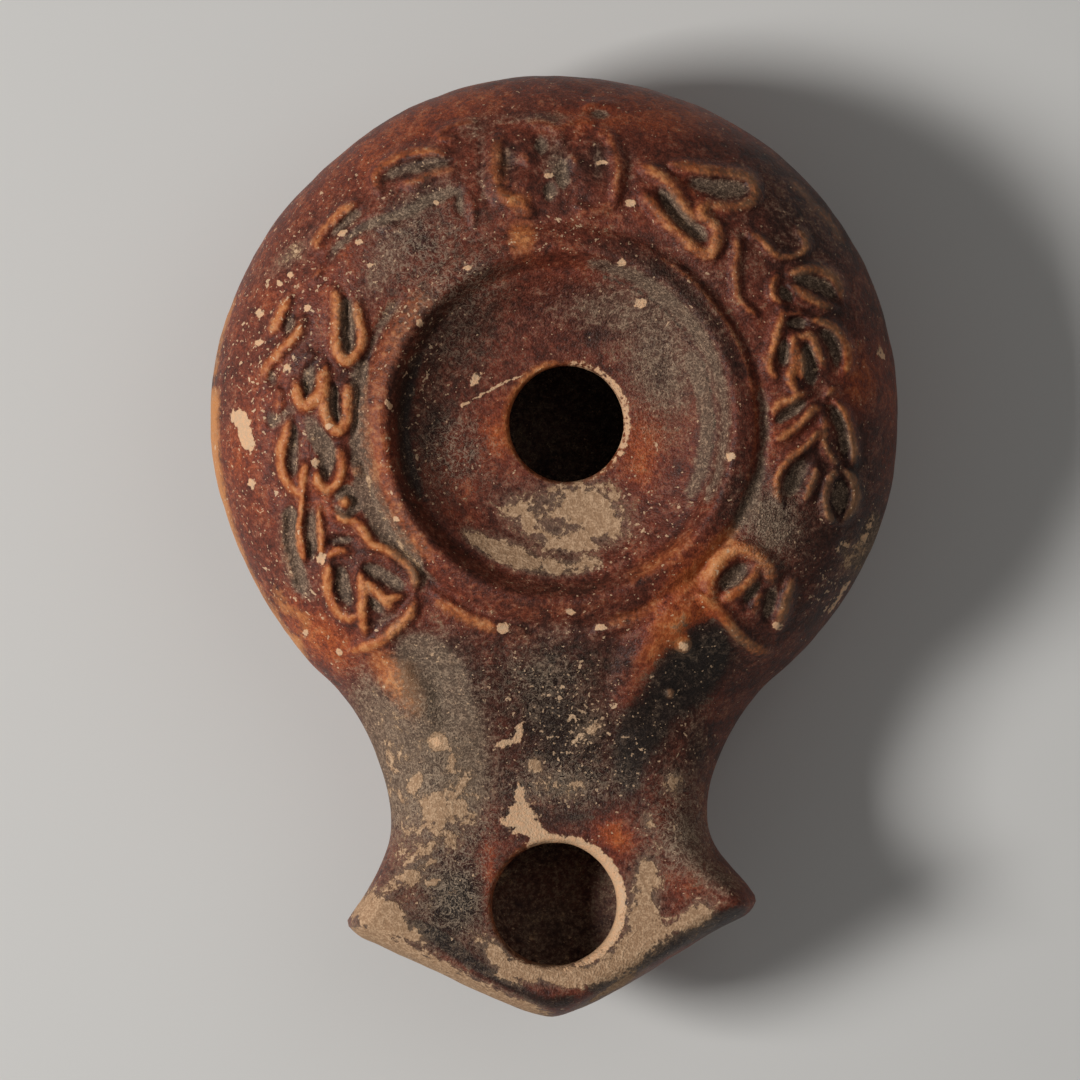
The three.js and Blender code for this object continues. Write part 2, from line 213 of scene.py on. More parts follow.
def smooth_line(through: Sequence[Point], spacing: float, steps: int = 8) -> np.ndarray:
    """A smooth open line through a few points.

    Args:
        through: the points that the line passes.
        spacing: the distance between neighbours on the result.
        steps: how many points each stretch is worked out at.

    Returns:
        The line's points, one row each.
    """
    given = np.asarray(through, float)
    padded = np.vstack([2 * given[0] - given[1], given, 2 * given[-1] - given[-2]])
    pieces = []
    for before, a, b, after in zip(padded, padded[1:], padded[2:], padded[3:]):
        pieces.append(bezier([a, a + (b - before) / 6, b - (after - a) / 6, b], steps))
    return even_steps(np.vstack([*pieces, given[-1:]]), spacing, closed=False)


@dataclass(frozen=True)
class Unevenness:
    """Smooth seeded noise in space, for what the hand and the kiln left uneven.

    Its values run from -1 to 1 over lumps of one spacing.
    """

    seed: int
    spacing: float
    period: int = 48

    def at(self, points: np.ndarray) -> np.ndarray:
        """The noise in space.

        Args:
            points: the places, one row of three each.

        Returns:
            The noise at each place.
        """
        values = np.random.default_rng(self.seed).uniform(-1, 1, (self.period,) * 3)
        where = points / self.spacing + self.period
        whole = np.floor(where).astype(int)
        part = smoothstep(where - whole, 0, 1)
        total = np.zeros(len(points))
        for corner in np.ndindex(2, 2, 2):
            weight = np.prod(np.where(np.array(corner) == 1, part, 1 - part), axis=1)
            index = (whole + corner) % self.period
            total += weight * values[index[:, 0], index[:, 1], index[:, 2]]
        return total


# ---------------------------------------------------------------- the relief


@dataclass(frozen=True)
class Stroke:
    """A ridge or groove of the relief, along a smooth line through a few points.

    A stroke with a height below 0 is a groove. Its ends taper over about one width.
    """

    through: tuple[Point, ...]
    width: float
    height: float

    SPREAD = 0.82  # reach to either side of the line, as a share of the width
    STEP = 0.5
    END_SIZE = 0.55  # share of the reach and the height that is left at the very ends
    FLANK_POWER = 1.5  # how the flanks curve

    def share(self, points: np.ndarray) -> np.ndarray:
        """How far each plan point stands up the stroke.

        Args:
            points: the plan points, one row each.

        Returns:
            0 beside the stroke and 1 on its line, for each point.
        """
        line = smooth_line(self.through, self.STEP)
        reach = self.SPREAD * self.width
        result = np.zeros(len(points))
        low, high = line.min(axis=0) - reach, line.max(axis=0) + reach
        near = np.flatnonzero(((points[:, :2] > low) & (points[:, :2] < high)).all(axis=1))
        along = np.linspace(0, 1, len(line))
        taper = np.sqrt(np.clip(np.minimum(along, 1 - along) * len(line) * self.STEP / self.width, 0, 1))
        sizes = lerp(self.END_SIZE, 1.0, taper)
        for a, b, size_a, size_b in zip(line, line[1:], sizes, sizes[1:]):
            gap, place = distance_to_side(a, b, points[near])
            size = lerp(size_a, size_b, place)
            rise = size * np.clip(1 - (gap / (reach * size)) ** 2, 0, 1) ** self.FLANK_POWER
            result[near] = np.maximum(result[near], rise)
        return result


def ridge(*through: Point, width: float = 1.3, height: float = 0.75) -> Stroke:
    """A raised stroke through points."""
    return Stroke(through, width, height)


def groove(*through: Point, width: float = 1.3, depth: float = 0.45) -> Stroke:
    """A sunk stroke through points."""
    return Stroke(through, width, -depth)


def arc(centre: Point, radius: float, start: float, end: float, step: float = 12.0) -> tuple[Point, ...]:
    """Points of an arc, for a stroke.

    Args:
        centre: the arc's centre.
        radius: its radius.
        start, end: the angles that it runs between.
        step: about how many degrees lie between neighbouring points.

    Returns:
        The points in turn.
    """
    steps = max(2, round(abs(end - start) / step))
    angles = np.linspace(start, end, steps + 1)
    return tuple(tuple(np.asarray(centre) + radius * heading(angle)) for angle in angles)


@dataclass(frozen=True)
class Relief:
    """A group of strokes on the shoulder or the nozzle, and how far its crests are rubbed."""

    worn: float
    strokes: tuple[Stroke, ...]


RING_CENTRE: Point = (0.6, -0.3)

WREATH_LEFT_LOW = Relief(
    worn=1.0,
    strokes=(
        ridge((-23.7, -14.5), (-23.7, -17.0), (-23.1, -19.2), (-21.8, -20.5), (-20.4, -20.3)),
        ridge((-20.3, -15.6), (-20.0, -17.8), (-20.0, -20.0), (-19.7, -22.4)),
        groove((-22.3, -15.2), (-22.0, -17.3), (-21.3, -19.0), depth=0.6),
        groove((-19.6, -15.0), (-17.8, -16.0), (-15.8, -17.3), depth=0.6),
        ridge(
            (-23.1, -9.2), (-22.2, -9.9), (-20.6, -10.5), (-19.8, -11.5), (-19.0, -12.8), (-17.6, -13.3),
            (-16.0, -14.3), (-14.6, -15.9), (-14.4, -17.4),
        ),
        ridge((-19.9, -16.4), (-18.7, -17.5), (-17.6, -18.7), (-16.9, -19.5)),
        ridge((-18.2, -18.3), (-17.0, -18.4), (-15.7, -18.0), width=1.2),
        groove((-19.2, -18.5), (-17.8, -20.0), width=1.0),
        groove((-19.0, -21.3), (-16.5, -20.0), width=1.4, depth=0.3),
        groove(
            (-20.4, -1.0), (-19.9, -5.0), (-18.7, -8.8), (-16.8, -12.0), (-14.6, -15.0), (-13.6, -17.2),
            width=2.2, depth=0.3,
        ),
        groove((-24.8, -1.2), (-23.4, -3.6), width=1.8, depth=0.35),
        groove((-23.5, -12.5), (-21.0, -12.3), width=1.0),
        ridge((-23.8, -14.2), (-22.8, -13.5), (-21.4, -13.5), width=1.1),
        ridge((-26.3, -7.3), (-26.4, -8.5), (-26.6, -11.0), (-26.2, -14.5), width=1.0),
        ridge((-24.6, -9.0), (-24.4, -12.0), (-24.3, -14.0), width=1.0),
        groove((-25.3, -9.0), (-25.3, -14.2), width=1.1),
        groove((-27.5, -9.0), (-27.4, -13.0), (-26.4, -17.5), width=1.2, depth=0.4),
        ridge((-28.5, -9.5), (-28.3, -13.0), (-27.2, -17.0), width=0.9, height=0.4),
        ridge(
            (-27.6, 0.3), (-28.4, -3.0), (-28.4, -5.0), (-27.6, -6.8), (-26.5, -7.4), (-26.2, -5.6),
            (-25.8, -4.2),
        ),
        groove((-27.2, 0.0), (-27.2, -5.6), width=1.1),
        ridge((-24.8, -5.0), (-24.6, -6.2), (-23.8, -7.1), (-22.7, -6.5), (-22.2, -5.0), (-22.3, -2.7)),
        groove((-23.6, -2.6), (-23.8, -5.8), width=1.4, depth=0.6),
        ridge((-21.5, -24.0), (-18.5, -23.0), (-16.5, -21.5), (-15.0, -20.0), (-14.5, -18.5)),
        ridge((-21.0, -4.8), (-20.6, -5.4), width=1.8, height=0.6),
        ridge((-22.1, -8.3), (-21.6, -8.3), width=1.6, height=0.8),
        groove(
            (-23.0, -8.3), (-21.7, -7.2), (-20.4, -8.3), (-21.7, -9.7), (-22.9, -8.6), width=0.9,
            depth=0.5,
        ),
    ),
)

WREATH_LEFT_MIDDLE = Relief(
    worn=1.0,
    strokes=(
        ridge((-23.9, 6.0), (-23.9, 3.0), (-23.7, 0.4), (-22.6, -0.9), (-21.6, 0.4), (-21.5, 4.0)),
        groove((-23.1, 3.8), (-22.9, 1.6), (-22.3, 0.0), width=1.2, depth=0.6),
        ridge(
            (-23.0, 13.8), (-22.6, 12.0), (-22.8, 9.0), (-22.3, 7.0), (-21.3, 6.3), (-20.3, 7.6),
            (-20.1, 9.5), (-20.7, 12.5),
        ),
        groove((-21.7, 12.6), (-21.5, 9.5), (-21.4, 7.3), width=1.5, depth=0.6),
        ridge((-27.0, 4.2), (-26.6, 2.2), (-25.7, 1.7), (-24.4, 3.0), (-24.1, 5.5)),
        groove((-25.3, 6.0), (-25.7, 2.8), depth=0.55),
        ridge((-25.9, 7.1), (-24.9, 7.0), width=0.9, height=0.5),
        ridge((-27.7, 13.0), (-28.7, 11.0), (-29.6, 9.2)),
        ridge((-26.2, 10.8), (-27.0, 9.0), (-28.8, 7.2), (-30.0, 5.8), (-30.3, 4.5), height=0.65),
        groove((-27.2, 11.2), (-28.0, 9.2), width=1.1),
        groove((-29.4, 5.6), (-29.3, 3.6), width=1.1, depth=0.4),
        ridge((-28.9, 3.6), (-28.6, 2.2), (-28.9, 0.8), width=0.9, height=0.5),
        groove((-29.7, 1.4), (-29.5, -0.4), width=1.1, depth=0.35),
        ridge((-24.2, 16.0), (-25.2, 15.0), (-25.5, 14.6), width=0.9, height=0.5),
    ),
)

WREATH_LEFT_TOP = Relief(
    worn=0.75,
    strokes=(
        ridge((-20.7, 22.9), (-22.5, 21.8), (-24.3, 20.0), (-25.0, 18.6), (-24.4, 18.2)),
        groove((-20.2, 22.0), (-22.3, 20.3), (-23.4, 19.2), width=1.2, depth=0.4),
        ridge(
            (-18.3, 24.0), (-18.7, 25.2), (-18.4, 26.3), (-17.0, 27.3), (-15.5, 28.0), (-13.5, 28.3),
            (-11.0, 28.0), height=0.65,
        ),
        ridge((-10.3, 26.3), (-12.5, 26.0), (-14.5, 25.0), (-16.0, 24.9), height=0.6),
        groove((-17.9, 25.3), (-15.5, 26.4), (-11.0, 27.2), width=1.5, depth=0.4),
        ridge(
            (-8.2, 31.3), (-9.2, 31.3), (-11.0, 30.8), (-12.0, 30.0), (-11.8, 29.5), (-10.4, 29.6),
            width=0.9, height=0.5,
        ),
        groove(
            (-9.8, 24.2), (-12.5, 23.3), (-15.0, 22.0), (-17.0, 21.3), (-20.0, 20.2), (-22.5, 18.2),
            (-23.5, 16.5), width=1.0, depth=0.35,
        ),
        ridge((-18.2, 20.2), (-16.3, 20.6), width=0.9, height=0.4),
        groove((-9.9, 24.4), (-9.7, 21.5), width=0.9, depth=0.4),
        ridge((-8.8, 23.8), (-8.3, 20.4), width=0.8, height=0.4),
    ),
)

ROSETTE = Relief(
    worn=0.7,
    strokes=(
        ridge(
            (-5.4, 30.0), (-6.2, 28.6), (-6.3, 26.0), (-6.0, 24.2), (-4.9, 23.1), (-3.2, 22.1),
            (-2.2, 21.7), width=1.6, height=0.6,
        ),
        ridge(
            (-3.3, 31.2), (-1.8, 31.3), (-0.6, 31.1), (0.4, 30.6), (1.8, 31.2), (4.2, 31.3), width=1.1,
            height=0.5,
        ),
        ridge(
            (4.2, 30.4), (5.6, 29.7), (6.2, 28.5), (6.6, 26.6), (6.4, 24.6), (6.2, 23.0), width=1.2,
            height=0.55,
        ),
        ridge((6.4, 24.2), (6.2, 22.8), (4.4, 21.9), (2.2, 22.3), width=1.0, height=0.5),
        ridge((-4.6, 29.2), (-3.0, 28.2), width=3.4, height=0.34),
        ridge((-4.6, 24.2), (-3.0, 25.0), width=3.4, height=0.4),
        ridge((4.8, 29.0), (3.2, 28.2), width=3.4, height=0.34),
        ridge((4.8, 24.2), (3.2, 25.0), width=3.4, height=0.3),
        ridge((-3.4, 28.0), (-2.4, 27.0), width=1.5, height=0.6),
        ridge((1.8, 27.9), (2.5, 26.8), width=1.4, height=0.55),
        ridge((0.4, 30.1), (0.8, 29.0), width=1.0, height=0.4),
        groove((-1.6, 29.6), (-1.3, 28.3), depth=0.45),
        groove((-0.5, 24.6), (-0.6, 23.2), width=1.2, depth=0.45),
        groove((1.0, 24.6), (0.8, 27.0), width=1.1, depth=0.35),
        groove((-4.6, 29.0), (-4.8, 25.4), width=1.6, depth=0.3),
        groove((4.4, 29.2), (4.7, 25.0), width=1.6, depth=0.3),
        groove((-7.6, 29.5), (-7.5, 25.0), (-6.8, 22.3), width=1.0, depth=0.18),
        groove((7.8, 28.5), (7.9, 25.0), (7.4, 21.9), width=1.0, depth=0.18),
        groove((3.8, 32.2), (5.8, 32.2), width=1.0, depth=0.35),
        ridge((3.0, 33.0), (5.0, 33.4), (6.5, 33.3), width=0.8, height=0.4),
    ),
)

WREATH_RIGHT_TOP = Relief(
    worn=0.75,
    strokes=(
        ridge(
            (9.3, 23.7), (10.5, 22.3), (11.5, 21.0), (12.5, 19.8), (14.0, 18.6), (15.3, 17.6),
            (16.3, 17.5), (16.8, 18.5), (16.9, 20.2), (15.5, 21.3), (15.3, 22.0), (16.2, 23.0),
            width=1.35, height=0.85,
        ),
        ridge((9.0, 26.7), (10.5, 26.0), (11.8, 24.8), (13.7, 22.3), (14.8, 20.8)),
        ridge((11.8, 25.3), (13.5, 23.8), width=0.9, height=0.5),
        groove((11.0, 24.3), (13.2, 21.2), (15.8, 19.0), width=1.4, depth=0.6),
        ridge(
            (12.2, 26.8), (14.5, 26.5), (17.0, 26.1), (19.0, 25.9), (20.3, 25.5), (20.9, 24.5),
            (20.8, 23.3), (20.0, 22.7), (18.0, 22.4), (16.2, 22.7),
        ),
        groove((14.3, 25.2), (17.0, 24.4), (19.8, 24.2), width=2.0, depth=0.5),
        ridge(
            (19.0, 19.3), (18.9, 17.0), (18.9, 13.5), (19.8, 12.0), (21.2, 10.7), width=1.0, height=0.65,
        ),
        ridge(
            (20.2, 19.7), (21.5, 19.0), (22.5, 17.9), (23.4, 17.2), (25.0, 17.3), (26.2, 18.0),
            (26.2, 19.0), (25.3, 20.2), width=0.95, height=0.75,
        ),
        ridge((24.3, 15.3), (26.5, 15.9), (28.0, 15.8), (29.5, 14.8), (30.2, 12.8)),
        ridge((24.6, 14.4), (25.5, 13.7), (26.5, 13.0), (28.0, 12.3), (29.3, 11.9)),
        groove((25.2, 14.9), (27.5, 14.4), (29.2, 13.2), width=1.2, depth=0.55),
        ridge((23.4, 15.4), (22.8, 14.5), (22.8, 13.2), (23.8, 12.2), width=1.0),
        groove((23.7, 13.9), (24.6, 12.8), width=0.9, depth=0.5),
        ridge(
            (12.0, 16.8), (14.0, 15.0), (16.0, 12.8), (18.0, 10.5), (18.8, 9.0), (19.8, 7.0), (20.4, 5.0),
            (20.9, 3.4), width=0.8, height=0.3,
        ),
    ),
)

WREATH_RIGHT_MIDDLE = Relief(
    worn=0.85,
    strokes=(
        ridge(
            (23.9, 12.0), (23.7, 11.2), (23.3, 9.5), (22.5, 7.0), (22.2, 6.3), (22.6, 5.2), (23.5, 4.4),
        ),
        ridge((23.7, 11.3), (26.0, 11.3), width=0.9, height=0.55),
        groove((24.4, 10.3), (26.2, 10.2), width=1.1, depth=0.5),
        groove((23.9, 8.4), (23.9, 6.0), width=1.0, depth=0.5),
        ridge(
            (24.9, 9.1), (24.9, 7.0), (25.0, 6.0), (24.6, 4.6), (24.8, 4.0), (25.3, 3.0), width=1.35,
            height=0.9,
        ),
        ridge((25.7, 7.5), (25.9, 5.5), (25.7, 4.3), width=1.0),
        ridge((25.0, 9.1), (26.0, 8.9), (26.8, 8.9), (27.3, 7.8), (27.8, 6.4), (28.2, 5.6)),
        groove((26.2, 8.0), (26.6, 6.0), (26.8, 4.0), width=1.2, depth=0.6),
        ridge(
            (26.5, 10.6), (28.0, 10.5), (29.3, 9.7), (30.1, 8.6), (30.6, 7.0), (30.6, 6.0), (30.2, 5.0),
        ),
        groove((28.0, 9.4), (29.2, 8.2), (29.4, 6.0), depth=0.5),
        ridge((26.4, 3.1), (25.5, 2.7), (24.8, 2.2), (23.5, 2.0), (23.0, 1.3), (22.8, 0.5)),
        groove((26.0, 2.0), (24.5, 1.0), (23.2, 0.1), width=1.0, depth=0.55),
        ridge((27.9, 1.3), (27.0, 1.5), (26.5, 0.8), (25.5, -0.3), (24.3, -1.2), (23.0, -1.9)),
        ridge((29.3, 2.2), (30.4, 0.8), (31.0, -1.0), (31.3, -2.8), (31.3, -4.4), width=1.1),
        groove((28.9, 1.4), (29.8, -0.2), (30.2, -1.8), (30.4, -3.4), width=1.1, depth=0.5),
        ridge(
            (28.0, 1.0), (28.3, -0.4), (28.2, -2.2), (28.9, -3.7), (29.7, -4.6), width=1.1, height=0.65,
        ),
        ridge((28.2, 2.5), (29.0, 3.5), (29.7, 3.0), width=1.0, height=0.6),
    ),
)

WREATH_RIGHT_LOW = Relief(
    worn=0.8,
    strokes=(
        ridge(
            (27.7, -0.7), (26.6, -2.2), (24.8, -3.6), (23.4, -5.3), (23.1, -7.2), (23.6, -8.6), width=1.1,
        ),
        ridge((27.3, -4.4), (26.9, -6.4), (26.0, -8.4), width=1.15),
        groove((26.0, -4.0), (25.2, -5.6), (24.6, -7.3), width=1.5, depth=0.6),
        ridge((29.7, -4.9), (28.6, -6.2), (28.3, -8.2), (28.6, -9.8), (29.4, -10.5), width=1.1),
        ridge((30.0, -4.9), (31.1, -5.8), (31.5, -7.5), (31.1, -9.2), (30.0, -10.4), width=1.2),
        groove((29.9, -6.4), (29.8, -7.8), (29.7, -9.2), width=1.5, depth=0.6),
        ridge(
            (16.3, -18.4), (16.3, -16.4), (17.2, -14.8), (19.0, -13.2), (21.0, -13.8), (22.3, -15.2),
            (22.9, -17.0), width=1.6,
        ),
        ridge((21.2, -14.6), (20.6, -16.2), (19.2, -17.6), (17.6, -18.6)),
        groove((19.6, -15.2), (18.6, -16.2), (17.4, -17.2), width=1.9, depth=0.7),
        groove((21.3, -16.8), (19.8, -18.8), width=1.1, depth=0.5),
        ridge((21.7, -17.5), (21.0, -19.0), (20.6, -20.0), width=1.0, height=0.6),
        groove((22.8, -17.2), (22.0, -20.5), width=1.2, depth=0.5),
        ridge((24.7, -16.2), (24.4, -18.0), (23.8, -20.0), (23.2, -21.5), width=1.25),
        groove((33.5, -9.6), (33.0, -11.8), (32.2, -13.8), (31.4, -15.0), width=1.9, depth=0.5),
        groove((30.8, -12.0), (30.2, -13.2), (31.0, -14.2), width=1.0, depth=0.3),
        ridge((14.9, -17.9), (17.0, -19.5), (18.6, -21.6), (20.5, -23.3), (22.5, -24.0), height=0.8),
    ),
)

NOZZLE_ROOT = Relief(
    worn=0.3,
    strokes=(
        ridge((-19.0, -23.4), (-17.0, -26.4), (-15.4, -29.0), (-14.0, -32.0), width=4.2, height=0.7),
        groove((-15.5, -23.4), (-12.6, -26.6), (-11.0, -31.0), width=4.6, depth=0.55),
        ridge((14.0, -18.6), (11.6, -22.0), (9.6, -25.6), (7.6, -30.0), width=4.6, height=0.8),
        ridge((13.4, -23.4), (13.8, -23.4), width=1.9, height=0.9),
        ridge((12.0, -28.3), (12.3, -28.3), width=1.1, height=0.6),
        ridge(*arc(RING_CENTRE, 22.0, 9, 37), width=1.0, height=0.45),
        ridge(*arc(RING_CENTRE, 22.0, -9, -37), width=1.0, height=0.45),
        groove(*arc(RING_CENTRE, 21.2, 38, 128), width=1.1, depth=0.3),
        groove(*arc(RING_CENTRE, 21.3, -40, -100), width=1.1, depth=0.35),
    ),
)

CARVING = (
    WREATH_LEFT_LOW,
    WREATH_LEFT_MIDDLE,
    WREATH_LEFT_TOP,
    ROSETTE,
    WREATH_RIGHT_TOP,
    WREATH_RIGHT_MIDDLE,
    WREATH_RIGHT_LOW,
    NOZZLE_ROOT,
)


# ---------------------------------------------------------------- the form


@dataclass(frozen=True)
class Flank:
    """One side of the nozzle: from the neck out to the fluke, round its bevel and along the front."""

    side: int  # -1 to the left, 1 to the right
    neck: Point
    fluke: Point
    heel: Point

    # Where the curves' handles lie from their ends: outwards, and away from the nozzle's front.
    OFF_BODY = (-3.2, -2.4)
    ABOVE_NECK = (0.0, 6.0)
    BELOW_NECK = (0.0, -4.5)
    ABOVE_FLUKE = (-2.4, 3.5)
    BESIDE_HEEL = (-6.0, -2.4)
    BESIDE_TIP = (6.6, 1.3)

    def curves(self, start: np.ndarray, tip: np.ndarray) -> list[list[np.ndarray]]:
        """The flank's curves, from the body to the tip of the nozzle.

        Args:
            start: where the flank leaves the body.
            tip: the middle of the nozzle's front.

        Returns:
            The ends and handles of each curve in turn.
        """
        out = np.array([self.side, 1.0])
        neck, fluke, heel = (np.array(point) for point in (self.neck, self.fluke, self.heel))
        return [
            [start, start + out * self.OFF_BODY, neck + self.ABOVE_NECK, neck],
            [neck, neck + self.BELOW_NECK, fluke + out * self.ABOVE_FLUKE, fluke],
            [fluke, lerp(fluke, heel, 0.3), lerp(fluke, heel, 0.7), heel],
            [heel, heel + out * self.BESIDE_HEEL, tip + out * self.BESIDE_TIP, tip],
        ]


@dataclass(frozen=True)
class Swell:
    """Where the body swells out or flattens from a true circle."""

    at: float  # its angle
    depth: float  # below 0 where the body is flattened
    spread: float  # in degrees

    def reach(self, angle: float) -> float:
        """How far it moves the outline outwards at an angle."""
        turn = (angle - self.at + 180) % 360 - 180
        return self.depth * math.exp(-((turn / self.spread) ** 2))


@dataclass(frozen=True)
class Plan:
    """The lamp's outline and the outline of its hollow, as seen from above."""

    radius: float = 36.06
    swells: tuple[Swell, ...] = (
        Swell(-138.0, 0.68, 36.0),
        Swell(162.0, 0.28, 22.0),
        Swell(-47.0, -0.75, 24.0),
        Swell(62.0, -0.58, 15.0),
    )
    junction: float = 43.0  # degrees either side of -Y where the nozzle leaves the body
    left: Flank = Flank(-1, (-17.07, -41.5), (-21.95, -52.5), (-20.3, -54.05))
    right: Flank = Flank(1, (15.97, -40.7), (21.35, -50.0), (20.4, -51.45))
    tip: Point = (-0.3, -62.35)
    body_steps: int = 400
    flank_steps: int = 30  # points to a curve
    rounding_step: float = 0.3  # the corners are rounded by smoothing a line of this step
    rounding_passes: int = 4
    edge_step: float = 0.62

    wall: float = 3.6
    mouth_half_width: float = 15.0  # where the passage leaves the reservoir
    neck_half_width: float = 12.8
    neck_y: float = -41.0
    chamber_radius: float = 8.9  # round the wick hole
    reservoir_steps: int = 90
    chamber_steps: int = 20
    hollow_step: float = 1.9

    def body_radius(self, angle: float) -> float:
        """The body's radius at an angle."""
        return self.radius + sum(swell.reach(angle) for swell in self.swells)

    def outline(self) -> np.ndarray:
        """Works out the lamp's outline.

        Returns:
            The outline's points, anticlockwise from where the right flank leaves the body.
        """
        turns = np.linspace(-self.junction, self.junction - 360, self.body_steps)
        body = [self.body_radius(turn) * heading(turn) for turn in turns]
        tip = np.array(self.tip)
        left = [bezier(ends, self.flank_steps) for ends in self.left.curves(body[-1], tip)]
        right = [bezier(ends[::-1], self.flank_steps) for ends in self.right.curves(body[0], tip)[::-1]]
        line = even_steps(np.vstack([body[:-1], *left, *right]), self.rounding_step, closed=True)
        for _ in range(self.rounding_passes):
            line = (np.roll(line, 1, axis=0) + 2 * line + np.roll(line, -1, axis=0)) / 4
        return even_steps(line, self.edge_step, closed=True)

    def hollow(self) -> np.ndarray:
        """Works out the widest line of the hollow: the reservoir, the passage and the wick's chamber.

        Returns:
            The line's points, anticlockwise.
        """
        radius = self.radius - self.wall
        mouth = math.degrees(math.asin(self.mouth_half_width / radius))
        turns = np.linspace(-mouth, mouth - 360, self.reservoir_steps)
        reservoir = [radius * heading(turn) for turn in turns]
        middle = np.array(WICK_HOLE.centre)
        turns = np.linspace(90, -90, self.chamber_steps)
        chamber = [middle + self.chamber_radius * heading(turn) for turn in turns]
        left_neck = np.array([[-self.neck_half_width, self.neck_y]])
        line = np.vstack([reservoir, left_neck, chamber, left_neck * (-1, 1)])
        return even_steps(line, self.hollow_step, closed=True)


@dataclass(frozen=True)
class Hole:
    """A round hole through the top, with a worn rim that is wider towards one side, whose bevel faces the
    light and is painted palest, partly as a painted highlight.
    """

    centre: Point
    radius: float
    flare: float  # how far the rim reaches outside the hole
    drop: float  # how far the rim falls
    worn_and_lit_towards: float  # angle of the most worn side, whose bevel faces the light
    worn_reach: float  # how much further the rim reaches there
    paleness: float  # share of the rim painted pale: worn down to pale clay, and partly a painted highlight on the side that faces the light
    steps: int = 128

    def wear(self, angle: float) -> float:
        """The share of wear at an angle, 1 on the most worn side."""
        return max(0.0, math.cos(math.radians(angle - self.worn_and_lit_towards))) ** 2

    def loop(self, share: float) -> np.ndarray:
        """The rim's loop, anticlockwise.

        Args:
            share: 0 on the outside of the rim, 1 at the hole's own radius.

        Returns:
            The loop's plan points, one row each.
        """
        rows = []
        for angle in -360 * np.arange(self.steps) / self.steps:
            reach = (self.flare + self.worn_reach * self.wear(angle)) * (1 - share)
            rows.append(np.array(self.centre) + (self.radius + reach) * heading(angle))
        return np.array(rows)

    def rim_at(self, points: np.ndarray) -> tuple[np.ndarray, np.ndarray]:
        """How the rim lies over plan points.

        Args:
            points: the points, one row each.

        Returns:
            How far each point belongs to the rim, and how pale it is painted there: bare clay, and partly a
            painted highlight on the side that faces the light.
        """
        x, y = points[:, 0] - self.centre[0], points[:, 1] - self.centre[1]
        turn = np.degrees(np.arctan2(-x, -y))
        worn = np.clip(0.35 + 0.75 * np.cos(np.radians(turn - self.worn_and_lit_towards)), 0, 1)
        reach = self.flare + self.worn_reach * worn
        rim = 1 - smoothstep(np.hypot(x, y) - self.radius, 0.5 * reach, 1.3 * reach)
        # The rim is palest on its lit side: partly a painted highlight.
        return rim, rim * (0.2 + 0.65 * worn) * self.paleness


FILLING_HOLE = Hole(
    centre=(1.3, -0.2), radius=6.05, flare=0.45, drop=0.9, worn_and_lit_towards=-115, worn_reach=0.5, paleness=0.62
)
WICK_HOLE = Hole(
    centre=(0.05, -50.4), radius=6.5, flare=0.6, drop=1.2, worn_and_lit_towards=-105, worn_reach=0.6, paleness=1.0
)


